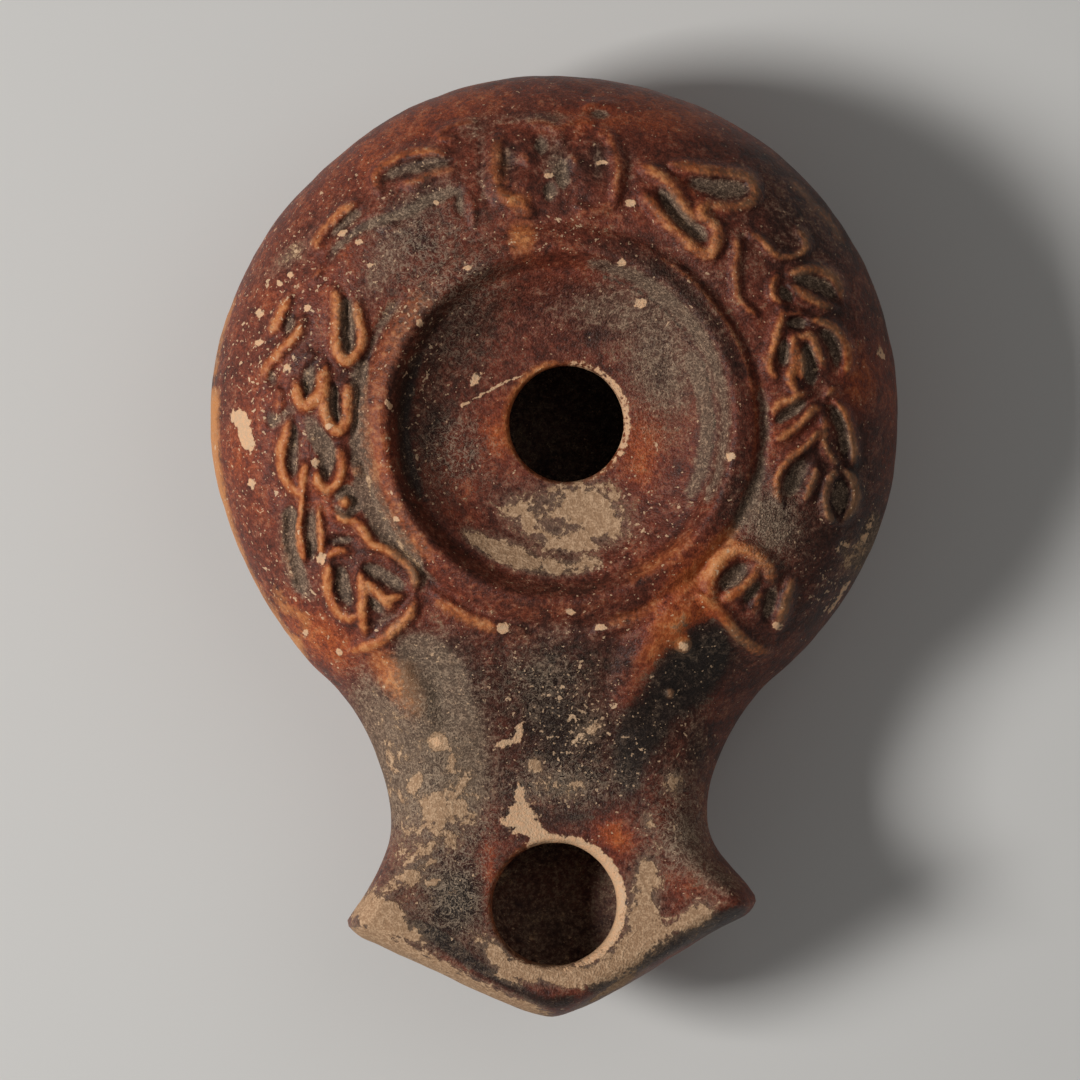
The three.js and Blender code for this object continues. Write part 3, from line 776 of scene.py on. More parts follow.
@dataclass(frozen=True)
class Form:
    """Heights of the lamp's four surfaces over the plan.

    A roll is the width of a surface's rounded edge. A fade is a pair of distances in front of the lamp's
    middle, between which the body's value gives way to the nozzle's.
    """

    plan: Plan = Plan()

    parting: float = 16.0
    nozzle_parting: float = 16.5
    parting_fade: Point = (28.0, 45.0)

    shoulder: float = 29.2
    nozzle: float = 23.2
    top_fade: Point = (19.0, 40.0)
    shoulder_roll: float = 14.9
    neck_roll: float = 6.5
    neck_fade: Point = (24.0, 38.0)
    nozzle_roll: float = 2.4
    nozzle_fade: Point = (40.0, 50.0)

    base_radius: float = 17.5
    base_step: float = 1.2
    keel: float = 7.5
    keel_fade: Point = (18.0, 50.0)
    keel_roll: float = 9.0
    keel_roll_fade: Point = (24.0, 44.0)

    discus: float = 25.6
    # The ring and the sunk discus, as radius and height from the ring's outer foot inwards.
    ring_profile: tuple[Point, ...] = (
        (20.9, 29.2), (20.6, 29.55), (20.2, 29.95), (19.3, 30.4), (18.6, 30.72), (18.2, 30.75),
        (17.8, 30.35), (17.3, 29.55), (16.6, 28.4), (16.2, 28.0), (15.8, 28.05), (15.2, 27.6),
        (13.8, 26.8), (12.4, 26.2), (10.5, 25.85), (8.0, 25.6),
    )
    ring_softening: tuple[float, ...] = (-0.3, -0.1, 0.1, 0.3)  # shifts that the profile is averaged over

    under_discus: Point = (11.0, 19.0)  # radii between which the ceiling climbs from the discus
    ceiling_dip: float = 0.4  # how far the ceiling lies below the shoulder's own wall
    ceiling_fade: Point = (20.0, 38.0)
    ceiling_roll: float = 13.0
    nozzle_ceiling_roll: float = 5.0
    ceiling_roll_fade: Point = (24.0, 40.0)
    floor_dip: float = 0.4
    floor_roll: float = 15.0
    nozzle_floor_roll: float = 7.0

    @cached_property
    def rim(self) -> np.ndarray:
        """The lamp's outline, which the outer rolls are measured from."""
        return self.plan.outline()

    @cached_property
    def hollow_rim(self) -> np.ndarray:
        """The hollow's widest line, which the inner rolls are measured from."""
        return self.plan.hollow()

    @staticmethod
    def towards_nozzle(points: np.ndarray, fade: Point) -> np.ndarray:
        """0 up to the start of a fade and 1 beyond its end."""
        return smoothstep(-points[:, 1], *fade)

    @staticmethod
    def roll(inset: np.ndarray, width: float | np.ndarray) -> np.ndarray:
        """A quarter of an ellipse: 0 at an edge and 1 from one width inwards."""
        return np.sqrt(1 - (1 - np.clip(inset / width, 0, 1)) ** 2)

    def edge_z(self, points: np.ndarray) -> np.ndarray:
        """Height of the line where the mould halves met."""
        return lerp(self.parting, self.nozzle_parting, self.towards_nozzle(points, self.parting_fade))

    def top_z(self, points: np.ndarray) -> np.ndarray:
        """Height of the top without its ring, discus and relief.

        Args:
            points: the plan points, one row each.

        Returns:
            The height at each point.
        """
        width = lerp(self.shoulder_roll, self.neck_roll, self.towards_nozzle(points, self.neck_fade))
        width = lerp(width, self.nozzle_roll, self.towards_nozzle(points, self.nozzle_fade))
        plateau = lerp(self.shoulder, self.nozzle, self.towards_nozzle(points, self.top_fade))
        return lerp(self.edge_z(points), plateau, self.roll(distance_to(self.rim, points), width))

    def ring_z(self, points: np.ndarray) -> np.ndarray:
        """What the ring and the sunk discus add to the top.

        Args:
            points: the plan points, one row each.

        Returns:
            The added height at each point.
        """
        radius = np.hypot(points[:, 0] - RING_CENTRE[0], points[:, 1] - RING_CENTRE[1])
        radii, heights = np.array(self.ring_profile[::-1]).T
        softened = [np.interp(radius + shift, radii, heights) for shift in self.ring_softening]
        return np.mean(softened, axis=0) - self.shoulder

    def keel_z(self, points: np.ndarray) -> np.ndarray:
        """Height of the lowest line of the underside, from the base up to the keel of the nozzle."""
        return lerp(self.base_step, self.keel, self.towards_nozzle(points, self.keel_fade))

    def underside_z(self, points: np.ndarray) -> np.ndarray:
        """Height of the underside outside the base.

        Args:
            points: the plan points, one row each.

        Returns:
            The height at each point.
        """
        body_roll = self.plan.radius - self.base_radius
        width = lerp(body_roll, self.keel_roll, self.towards_nozzle(points, self.keel_roll_fade))
        share = self.roll(distance_to(self.rim, points), width)
        return lerp(self.edge_z(points), self.keel_z(points), share)

    def ceiling_z(self, points: np.ndarray) -> np.ndarray:
        """Height of the top wall's inner surface.

        Args:
            points: the plan points, one row each.

        Returns:
            The height at each point.
        """
        from_middle = np.hypot(points[:, 0], points[:, 1])
        under_shoulder = self.shoulder - self.ceiling_dip
        body = lerp(self.discus, under_shoulder, smoothstep(from_middle, *self.under_discus))
        highest = lerp(body, self.nozzle, self.towards_nozzle(points, self.ceiling_fade)) - self.plan.wall
        share = self.towards_nozzle(points, self.ceiling_roll_fade)
        width = lerp(self.ceiling_roll, self.nozzle_ceiling_roll, share)
        return lerp(self.edge_z(points), highest, self.roll(distance_to(self.hollow_rim, points), width))

    def floor_z(self, points: np.ndarray) -> np.ndarray:
        """Height of the bottom wall's inner surface.

        Args:
            points: the plan points, one row each.

        Returns:
            The height at each point.
        """
        lowest = self.keel_z(points) + self.plan.wall - self.floor_dip
        share = self.towards_nozzle(points, self.keel_roll_fade)
        width = lerp(self.floor_roll, self.nozzle_floor_roll, share)
        return lerp(self.edge_z(points), lowest, self.roll(distance_to(self.hollow_rim, points), width))


# ---------------------------------------------------------------- the paint that time left, and painted light and shade


class Paint(Enum):
    """What varies over the clay, each held as one number at every point of the mesh."""

    WARMTH = "warmth"  # 0 dark grey-brown slip, 1 bright orange slip, lowered in places as painted shade
    OCHRE = "ochre"  # a bright yellow band along the lit left edge: partly slip fired yellow, partly a painted highlight
    WEAR = "wear"  # slip rubbed down to orange
    BARE = "bare"  # pale clay where the slip is gone; on the holes' lit rims partly a painted highlight
    DUST = "dust"  # grey dust held in the lows
    CRUST = "crust"  # tan lime crust
    # soot, and also painted shade on walls and faces turned from the light
    SOOT = "soot"
    SPECKS = "specks"  # how densely small pale specks lie
    GRIT = "grit"  # a pebbly surface
    WEB = "web"  # pale hairlines


@dataclass(frozen=True)
class Patch:
    """An oval of one paint that fades outwards."""

    paint: Paint
    x: float
    y: float
    reach_x: float
    reach_y: float
    amount: float
    turn: float = 0.0  # degrees anticlockwise

    def at(self, points: np.ndarray) -> np.ndarray:
        """The patch's amount over plan points.

        Args:
            points: the points, one row each.

        Returns:
            The amount at each point.
        """
        angle = math.radians(self.turn)
        dx, dy = points[:, 0] - self.x, points[:, 1] - self.y
        along = dx * math.cos(angle) + dy * math.sin(angle)
        across = -dx * math.sin(angle) + dy * math.cos(angle)
        return self.amount * np.exp(-((along / self.reach_x) ** 2) - (across / self.reach_y) ** 2)


@dataclass(frozen=True)
class Streak:
    """A stroke of one paint."""

    paint: Paint
    through: tuple[Point, ...]
    width: float
    amount: float

    def at(self, points: np.ndarray) -> np.ndarray:
        """The streak's amount over plan points."""
        return self.amount * Stroke(self.through, self.width, 1.0).share(points)


def patches(paint: Paint, *ovals: tuple[float, ...]) -> tuple[Patch, ...]:
    """Several ovals of one paint, each given by a patch's other fields in their order."""
    return tuple(Patch(paint, *oval) for oval in ovals)


PATCHES = (
    # How the slip was mottled by the kiln, with a painted shadow on the discus's left wall.
    *patches(
        Paint.WARMTH,
        (-30, -4, 8, 20, 0.1), (-24, -22.5, 6, 2.2, 0.45, -38), (-25.5, 23.5, 15, 2.2, 0.1, 46),
        (-13, 31.5, 9, 2.0, 0.14, 22), (5, 31.5, 8, 2.2, 0.2), (10, 33, 12, 2.6, 0.12, -18),
        (-3, 30, 5, 3, -0.12), (32, 10, 6, 15, -0.12), (24, 24, 9, 6, -0.16, -45), (31, -12, 6, 10, -0.2),
        (25, -20, 6, 5, -0.12), (32, 4.6, 2.4, 3.4, 0.45), (21, -2, 2, 5, 0.05),
        # (-13.8, 1) darkens the discus's left wall, where the ring's shadow falls: painted shadow.
        (-13.8, 1, 2.6, 10, -0.3), (-9, 10, 6, 4, -0.2, 40), (-14.2, 5, 1.4, 5, 0.25),
        (-18.4, -1, 2.0, 13, 0.08), (9.6, -1.6, 2.0, 3.0, 0.2), (9, -5, 2.0, 3.0, 0.2),
        (-6.0, -1, 1.6, 4, 0.3), (14, -14, 5, 3, 0.15, 40), (16.5, -20, 4, 2.5, 0.22, 45),
        (13.5, -16.5, 5, 1.5, 0.3, 45), (-4, -20.5, 9, 3.0, 0.04), (-15, 19, 7, 5, -0.1, 30),
        (15.5, -24, 3.2, 2.8, -0.6), (1, -32, 6, 9, -0.5), (2, -25, 8, 2.5, -0.15),
        (-13, -31, 5, 9, -0.2), (-11, -49, 4.5, 5, -0.45), (14, -34, 3, 7, -0.1),
        (6.2, -43.2, 2.2, 1.7, 0.5, -25), (-6.7, -47, 0.9, 5, 0.35), (12.5, -48.2, 3, 1.5, 0.12),
        (13.2, -33, 1.6, 4, 0.18), (12, -31, 4, 6, -0.25),
    ),
    # Rubbed places off the wreath, and the rubbed pellets.
    *patches(
        Paint.WEAR,
        (32.2, 5.2, 1.6, 2.4, 0.4), (-3.4, 19.2, 1.5, 1.9, 1.0), (-3.6, 23.2, 1.6, 0.8, 0.6),
        (-5.2, 26.5, 0.8, 2.4, 0.4), (-21.8, -8.3, 0.8, 0.7, 0.7), (-3.5, -22.4, 4, 2.2, 0.2),
        (13.6, -23.4, 1.0, 1.0, 1.6), (12.1, -28.3, 0.6, 0.6, 1.3),
    ),
    # Chips and larger spots of pale clay.
    *patches(
        Paint.BARE,
        (-33.0, 0.6, 1.0, 0.8, 1.0), (-32.4, -0.4, 0.8, 0.9, 0.6), (-32.0, -1.9, 0.8, 1.3, 1.0, 15),
        (-3.6, -41.4, 2.0, 1.7, 0.95, 15), (-1.6, -43.0, 1.3, 0.8, 0.8, -25),
        (-3.6, -38.6, 0.7, 1.0, 0.8), (-3.7, -32.3, 0.55, 1.1, 0.9, -10),
        (-5.2, -33.5, 1.1, 0.5, 0.85, 10), (-12.4, -33.4, 0.8, 0.6, 0.7, -30), (9.0, 12.4, 0.8, 0.7, 0.9),
        (7.0, 16.5, 0.6, 0.45, 0.9), (-5.4, -21.5, 0.85, 0.7, 0.95, -15), (4.8, -21.4, 0.8, 0.45, 0.9),
        (1.7, -19.8, 0.6, 0.5, 0.75), (4.6, -15.4, 0.5, 0.5, 0.6), (-24.3, -14.2, 0.6, 0.7, 0.9),
        (18.4, -3.6, 0.5, 0.6, 0.9), (13.5, -23.3, 0.75, 0.75, 0.75), (23.3, -21.2, 0.6, 0.5, 0.7),
        (-31.6, -6.5, 0.5, 0.7, 0.85), (-30.8, 11.4, 0.5, 0.5, 0.9), (-22.0, 19.7, 0.7, 0.35, 0.9, 35),
        (-20.3, 18.7, 0.45, 0.3, 0.9), (-19.2, 16.3, 0.4, 0.4, 0.85), (-28.7, 14.5, 0.4, 0.4, 0.9),
        (-27.6, 15.4, 0.4, 0.4, 0.9), (-25.7, 11.9, 0.6, 0.5, 0.8), (-30.7, 8.3, 0.45, 0.45, 0.9),
        (-27.8, 5.6, 0.7, 0.5, 0.75), (-24.9, -4.3, 0.5, 0.7, 0.8, 20), (-23.4, -0.5, 0.4, 0.45, 0.9),
        (-16.5, -10.2, 0.45, 0.4, 0.85), (-17.3, 1.8, 0.4, 0.7, 0.75, 20),
        (-8.2, 4.6, 0.6, 1.2, 0.7, -30), (-14.0, 10.2, 0.5, 0.5, 0.8), (-12.3, 22.8, 0.35, 0.35, 0.9),
        (-0.5, 25.6, 0.6, 0.35, 0.9, 10), (4.9, 27.0, 0.6, 0.35, 0.8), (8.0, 22.7, 0.7, 0.5, 0.8, -20),
        (-9.0, 16.0, 0.6, 0.3, 0.8, 20), (-22.5, -24.0, 0.5, 0.5, 0.85), (-26.0, -22.0, 0.4, 0.5, 0.8),
    ),
    # Dust on the shoulder, the discus and the nozzle.
    *patches(
        Paint.DUST,
        (-14, 20, 6, 3.2, 0.3, 30), (-18.5, 15.0, 2.4, 4.5, 0.55, -20), (-13, 24, 5, 1.3, 0.4, 25),
        (-8.5, 30.5, 3.0, 1.6, 0.55), (-2, 31.8, 5, 0.9, 0.5), (0.3, 26.8, 1.7, 4.2, 0.6),
        (11.5, 5, 5.2, 10, 0.68, 10), (3, 12, 7, 3.2, 0.5), (-9, -2.5, 4, 3.2, 0.22),
        (22.5, -10.5, 3.2, 4.2, 0.85, 20), (26, 22, 9, 4, 0.35, -45), (20, 15, 5, 8, 0.3),
        (0, -21.5, 9, 1.4, 0.35), (-12.0, -26.5, 3.4, 5.5, 0.85, 14), (-10.0, -33, 3.6, 4.6, 0.95),
        (-9.0, -39, 3.0, 3.4, 0.7), (-18.6, -31, 2.8, 7.0, 0.85, 22), (-15.5, -38.5, 3.4, 6.5, 0.85),
        (13.4, -43.5, 3.0, 4.5, 0.75), (17.5, -48, 3.0, 1.8, 0.7, -35), (15, -34, 1.6, 5, 0.5),
        (16.5, -25.5, 2.2, 3.5, 0.35, -30), (-1, -26, 3.5, 3.0, 0.45),
    ),
    # Lime crust on the discus, the nozzle and round the wick hole.
    *patches(
        Paint.CRUST,
        (2.6, -8.4, 4.0, 2.6, 0.72), (5.6, -10.5, 2.6, 2.4, 0.5, -20), (-3.2, -9.6, 3.6, 2.0, 0.5, -35),
        (1.5, -12.6, 3.4, 1.4, 0.55), (-4.5, -13.2, 3.4, 0.9, 0.5, -25),
        (-27.8, 17.2, 2.6, 1.0, 0.45, 42), (31.5, -14, 2.2, 1.6, 0.35, 60),
        (-12.3, -33.2, 1.3, 1.2, 0.8, 20), (-10.6, -35.0, 0.8, 1.2, 0.6),
        (-14.3, -37.4, 1.0, 0.6, 0.8, 45), (-12.0, -39.5, 3.2, 1.6, 0.36, 30),
        (-12.2, -42.4, 4.2, 3.2, 0.45, 35), (-16.0, -36.5, 2.2, 5.5, 0.3), (-9.0, -37.5, 2.6, 4.5, 0.22),
        (-18.5, -29.5, 1.8, 5, 0.2, 25), (-15.2, -47.2, 2.4, 1.4, 0.62, 35),
        (-12.7, -48.1, 1.0, 0.5, 0.9, 15), (-18.4, -51.6, 3.4, 2.2, 0.95, -28),
        (-14.4, -53.6, 2.4, 0.9, 0.5, -30), (0.6, -38.0, 4.0, 1.4, 0.5), (-2.2, -35.8, 0.9, 0.9, 0.75),
        (3.8, -31.8, 1.8, 2.0, 0.4), (12.6, -37.6, 1.1, 1.5, 0.7), (9.7, -41.7, 0.7, 1.1, 0.55),
        (9.2, -51.0, 2.0, 5.2, 0.85, -8), (9.6, -47.0, 0.9, 1.4, 0.8), (15.0, -51.4, 2.0, 1.4, 0.85, 40),
        (12.0, -53.3, 2.6, 1.2, 0.55, 30), (1.0, -57.6, 5.5, 1.2, 0.95),
        (-6.2, -55.4, 2.6, 1.4, 0.75, -35), (6.6, -56.2, 2.6, 1.6, 0.7, 35),
    ),
    # Soot round the nozzle's root, less where a pellet is rubbed clean.
    *patches(
        Paint.SOOT,
        (9.4, -32, 2.6, 3.2, 1.0), (7.6, -36.5, 2.0, 4, 0.8), (12.5, -27.5, 3.0, 3.6, 0.95, -30),
        (15.6, -24.5, 2.2, 4.4, 0.9, -16), (-10.2, -50, 3.4, 4.0, 0.75), (2, -41.2, 3.4, 1.0, 0.6),
        (0, -31.5, 4.5, 4, 0.55), (14.8, -24.2, 3.2, 3.2, 0.9), (13.6, -23.4, 0.75, 0.75, -2.0),
        (12.1, -28.3, 0.6, 0.6, -1.0),
    ),
    # Where pale specks lie thickest.
    *patches(
        Paint.SPECKS,
        (-24, 14, 10, 14, 0.55), (-31, -2, 5, 20, 0.55), (-25, -20, 5, 5, 0.5), (-14, 9, 3, 8, 0.5),
        (-14, -6, 3, 8, 0.5), (8, -10, 10, 8, 0.5), (0, 20, 9, 3, 0.6), (28.5, -17, 3, 3, 0.9),
        (31, -6, 3, 6, 0.4), (0, -31, 8, 8, 0.8), (3.8, -31.5, 2, 2.2, 1.2), (12, -38, 5, 9, 0.4),
        (-14, -28, 6, 6, 0.3),
    ),
    # Pebbly places.
    *patches(
        Paint.GRIT,
        (11, 5, 5.5, 10, 0.9), (3, 12, 8, 3.5, 0.7), (22.5, -10.5, 3.5, 4.5, 1.0), (-14, -38, 5, 9, 0.7),
        (0, -34, 6, 8, 0.6), (3, -56, 9, 4, 0.6),
    ),
    # Places with pale hairlines.
    *patches(
        Paint.WEB,
        (11, 7, 5, 8, 0.5), (-14, 18.5, 6, 4.5, 0.65, 30), (-9, 14, 4, 3, 0.6, 30),
        (-9.5, 7.5, 4, 2.5, 0.35), (-10.5, -3, 3.6, 4, 0.8), (22.5, -10.5, 3, 4, 0.9),
        (-12.0, -41, 5, 6, 1.3), (-12.5, -30, 6, 6, 0.5), (-10.5, -50, 4.0, 4.5, 0.85),
        (1, -37.5, 5, 2.6, 1.0), (13.5, -42.5, 3.6, 5, 0.9), (-1.5, -27, 5, 3.5, 0.55),
    ),
)

STREAKS = (
    Streak(Paint.WARMTH, arc(RING_CENTRE, 19.5, -24, 56), 4.0, 0.04),
    # Darker top of the ring on the right, where it slopes away from the light: painted shade.
    Streak(Paint.WARMTH, arc(RING_CENTRE, 19.2, -60, -160), 1.6, -0.12),
    Streak(Paint.WARMTH, ((15.6, -19.4), (11.8, -22.2), (10.0, -24.6)), 4.4, 0.42),
    Streak(Paint.WARMTH, ((10.0, -24.6), (8.8, -27.0), (7.8, -29.0)), 3.6, 0.22),
    # A bright yellow band along the lit left edge: partly slip fired yellow, partly a painted highlight.
    Streak(
        Paint.OCHRE,
        ((-35.6, 3.6), (-35.9, -1.0), (-35.3, -7.0), (-33.2, -14.0), (-29.6, -20.6), (-26.0, -25.0)), 1.7,
        1.0,
    ),
    Streak(Paint.OCHRE, ((-29.5, -16.8), (-28.0, -19.5), (-26.0, -20.4), (-26.6, -22.8)), 1.6, 0.6),
    Streak(Paint.OCHRE, ((-33.4, 13.6), (-34.8, 9.4), (-35.7, 4.4)), 0.8, 0.7),
    Streak(Paint.WEAR, arc(RING_CENTRE, 19.4, 46, 136), 2.6, 0.5),
    Streak(Paint.WEAR, arc(RING_CENTRE, 17.8, -24, -50), 2.4, 0.5),
    Streak(Paint.WEAR, arc(RING_CENTRE, 19.2, -20, 52), 2.4, 0.24),
    Streak(Paint.WEAR, arc(RING_CENTRE, 21.0, -34, -60), 2.2, 0.75),
    Streak(Paint.WEAR, arc(RING_CENTRE, 20.3, -66, -150), 0.5, 0.35),
    Streak(Paint.WEAR, ((-18.7, -24.7), (-15.9, -26.9), (-14.3, -29.8)), 3.8, 0.72),
    Streak(Paint.WEAR, ((15.0, -19.8), (11.8, -22.4), (10.0, -24.6)), 3.0, 0.35),
    Streak(Paint.WEAR, ((-12.4, -18.6), (-9.1, -20.5), (-6.0, -21.6)), 1.3, 0.7),
    Streak(Paint.WEAR, ((5.4, -21.0), (8.5, -20.0), (11.2, -18.6)), 1.4, 0.55),
    Streak(Paint.WEAR, ((24.6, 25.4), (28.5, 21.5), (30.4, 18.4)), 0.9, 0.6),
    Streak(Paint.WEAR, arc((1.3, -0.2), 6.6, 60, 170), 1.0, 0.5),
    Streak(Paint.BARE, ((-3.2, 4.9), (-5.2, 4.1), (-8.4, 2.4), (-10.0, 1.5)), 0.42, 0.62),
    Streak(Paint.BARE, ((33.8, 7.8), (34.6, 6.6)), 0.8, 0.7),
    Streak(Paint.BARE, ((33.2, -9.6), (32.8, -11.6), (31.6, -13.2)), 0.9, 0.55),
    Streak(Paint.BARE, ((31.2, -13.2), (29.9, -12.6), (29.5, -14.0)), 0.6, 0.55),
    Streak(Paint.BARE, ((31.0, -16.4), (28.5, -20.0)), 0.5, 0.65),
    Streak(
        Paint.DUST,
        ((-20.4, 6.0), (-20.2, 0.0), (-19.7, -5.0), (-18.4, -9.6), (-16.6, -12.3), (-14.4, -15.2)), 2.2,
        1.0,
    ),
    Streak(Paint.DUST, ((-25.6, 0.6), (-24.6, -1.6), (-22.8, -3.8)), 2.0, 0.9),
    Streak(Paint.DUST, ((-21.4, -7.0), (-19.6, -8.6)), 2.4, 0.8),
    Streak(Paint.DUST, ((-28.0, -9.0), (-27.8, -12.6), (-26.6, -16.6), (-25.2, -18.6)), 1.9, 0.8),
    Streak(Paint.DUST, ((-26.4, 2.2), (-29.5, -0.6)), 1.4, 0.7),
    Streak(Paint.DUST, arc(RING_CENTRE, 15.4, -60, -118), 1.5, 0.7),
    Streak(Paint.DUST, arc(RING_CENTRE, 17.2, -62, -170), 1.3, 0.6),
    Streak(Paint.CRUST, arc(RING_CENTRE, 20.9, 38, 78), 0.5, 0.42),
    Streak(Paint.CRUST, arc(RING_CENTRE, 14.9, -16, 42), 1.5, 0.6),
    Streak(Paint.CRUST, ((-21.2, -53.4), (-14.0, -56.4), (-7.0, -59.8), (-0.4, -62.3)), 1.8, 0.72),
    Streak(Paint.CRUST, ((2.0, -61.6), (8.0, -58.2)), 1.0, 0.5),
    # Dark inner wall of the ring on the left, where the ring's shadow falls: painted shadow.
    Streak(Paint.SOOT, arc(RING_CENTRE, 16.4, 62, 118), 1.8, 0.8),
    # A dark line in the small groove inside the ring on the right: painted shade.
    Streak(Paint.SOOT, arc(RING_CENTRE, 16.1, -58, -165), 0.5, 0.55),
    Streak(
        Paint.SOOT, ((-15.0, -52.2), (-11.0, -54.7), (-7.8, -56.9), (-1.4, -60.4), (2.6, -60.2)), 1.5,
        0.85,
    ),
    # Dark front-right face of the nozzle, turned from the light: painted shade.
    Streak(
        Paint.SOOT, ((3.6, -59.3), (7.7, -57.0), (11.6, -54.8), (16.0, -52.6), (19.8, -50.9)), 2.0, 1.0,
    ),
)


# ---------------------------------------------------------------- shader nodes


class Wire:
    """A number's socket that Python's operators can be used on."""

    def __init__(self, graph: "Graph", socket: Socket) -> None:
        """Wraps an output socket of a node in a graph."""
        self.graph = graph
        self.socket = socket

    def _join(self, operation: str, first: "Wire | float", second: "Wire | float") -> "Wire":
        """A Math node on two values."""
        node = self.graph.node("ShaderNodeMath", {"operation": operation}, {0: first, 1: second})
        return Wire(self.graph, node.outputs[0])

    def __add__(self, other: "Wire | float") -> "Wire":
        """Their sum."""
        return self._join("ADD", self, other)

    __radd__ = __add__

    def __mul__(self, other: "Wire | float") -> "Wire":
        """Their product."""
        return self._join("MULTIPLY", self, other)

    __rmul__ = __mul__

    def __sub__(self, other: "Wire | float") -> "Wire":
        """This less the other."""
        return self._join("SUBTRACT", self, other)

    def __rsub__(self, other: float) -> "Wire":
        """The other less this."""
        return self._join("SUBTRACT", other, self)

    def size(self) -> "Wire":
        """Its size without its sign."""
        return self._join("ABSOLUTE", self, 0.0)

    def rise(self, low: float, high: float) -> "Wire":
        """A smooth rise over its values.

        Args:
            low: the value up to which the result is 0.
            high: the value from which it is 1.

        Returns:
            The result.
        """
        node = self.graph.node(
            "ShaderNodeMapRange",
            {"interpolation_type": "SMOOTHSTEP"},
            {"Value": self, "From Min": low, "From Max": high},
        )
        return Wire(self.graph, node.outputs["Result"])


Input = Wire | Socket | float | Colour | Place


class Graph:
    """The nodes of one material."""

    def __init__(self, name: str) -> None:
        """Starts an empty material.

        Args:
            name: the material's name.
        """
        self.material = bpy.data.materials.new(name)
        self.material.use_nodes = True
        self.tree = self.material.node_tree
        self.tree.nodes.clear()

    def node(
        self, kind: str, settings: Mapping[str, object], inputs: Mapping[str | int, Input]
    ) -> bpy.types.Node:
        """Adds a node.

        Args:
            kind: the node's type.
            settings: its properties, set first. "stops" are a colour ramp's places and colours.
            inputs: the value or the link of each socket, by the socket's name or number.

        Returns:
            The node.
        """
        node = self.tree.nodes.new(kind)
        for key, value in settings.items():
            if key == "stops":
                ramp = node.color_ramp.elements
                for place, colour in value[len(ramp) :]:
                    ramp.new(place)
                for stop, (place, colour) in zip(ramp, value):
                    stop.position, stop.color = place, colour
            else:
                setattr(node, key, value)
        for key, value in inputs.items():
            source = value.socket if isinstance(value, Wire) else value
            if isinstance(source, Socket):
                self.tree.links.new(source, node.inputs[key])
            else:
                node.inputs[key].default_value = source
        return node

    def painted(self, paint: Paint) -> Wire:
        """The amount of a paint held in the mesh."""
        node = self.node("ShaderNodeAttribute", {"attribute_name": paint.value}, {})
        return Wire(self, node.outputs["Fac"])

    def noise(self, where: Socket, per_mm: float, detail: float = 3.0, warp: float = 0.0) -> Wire:
        """Cloudy noise about 0, from -0.5 to 0.5.

        Args:
            where: the coordinates in millimetres.
            per_mm: lumps in a millimetre.
            detail: how many finer layers it has.
            warp: how far it is distorted.

        Returns:
            The noise.
        """
        inputs = {"Vector": where, "Scale": per_mm, "Detail": detail, "Distortion": warp}
        return Wire(self, self.node("ShaderNodeTexNoise", {}, inputs).outputs["Fac"]) - 0.5

    def over(self, below: Input, above: Input, cover: Wire) -> Socket:
        """One colour laid over another where it covers."""
        node = self.node("ShaderNodeMix", {"data_type": "RGBA"}, {0: cover, 6: below, 7: above})
        return node.outputs[2]

    def shaded(self, colour: Input, share: Wire) -> Socket:
        """A colour made darker or lighter, where a share of 1 leaves it as it is."""
        return self.node("ShaderNodeHueSaturation", {}, {"Color": colour, "Value": share}).outputs["Color"]

    def between(self, low: float | Wire, high: float, cover: Wire) -> Wire:
        """A number that goes from low to high where something covers."""
        node = self.node("ShaderNodeMix", {"data_type": "FLOAT"}, {0: cover, 2: low, 3: high})
        return Wire(self, node.outputs[0])


@dataclass(frozen=True)
class FiredClay:
    """Slipped and fired clay after long burial: mottled slip, worn crests, dust, crust and soot, with
    painted shade and painted highlights.
    """

    name: str = "fired_clay"
    slip: tuple[tuple[float, Colour], ...] = (
        (0.0, earth(42, 27, 22)),
        (0.25, earth(74, 40, 31)),
        (0.5, earth(112, 52, 36)),
        (0.72, earth(150, 70, 37)),
        (1.0, earth(190, 102, 48)),
    )
    # the yellow edge band, partly a painted highlight
    ochre: Colour = earth(206, 136, 76)
    wear: Colour = earth(170, 88, 44)
    # rubbed crests at their palest, partly a painted highlight
    wear_and_highlight: Colour = earth(214, 142, 86)
    wear_dull: Colour = earth(136, 98, 70)
    # pale clay, also the painted highlight on the holes' lit rims
    bare: Colour = earth(228, 180, 138)
    dust: Colour = earth(98, 80, 66)
    dust_pale: Colour = earth(150, 126, 104)
    crust: Colour = earth(168, 132, 100)
    crust_pale: Colour = earth(212, 176, 140)
    # soot, also used as painted shade
    soot: Colour = earth(38, 32, 28)
    hair: Colour = earth(190, 166, 140)
    gloss: float = 0.17
    dust_roughness: float = 0.85
    crust_roughness: float = 0.92

    def material(self) -> bpy.types.Material:
        """The material, ready for the mesh."""
        return ClayShader(self).build()


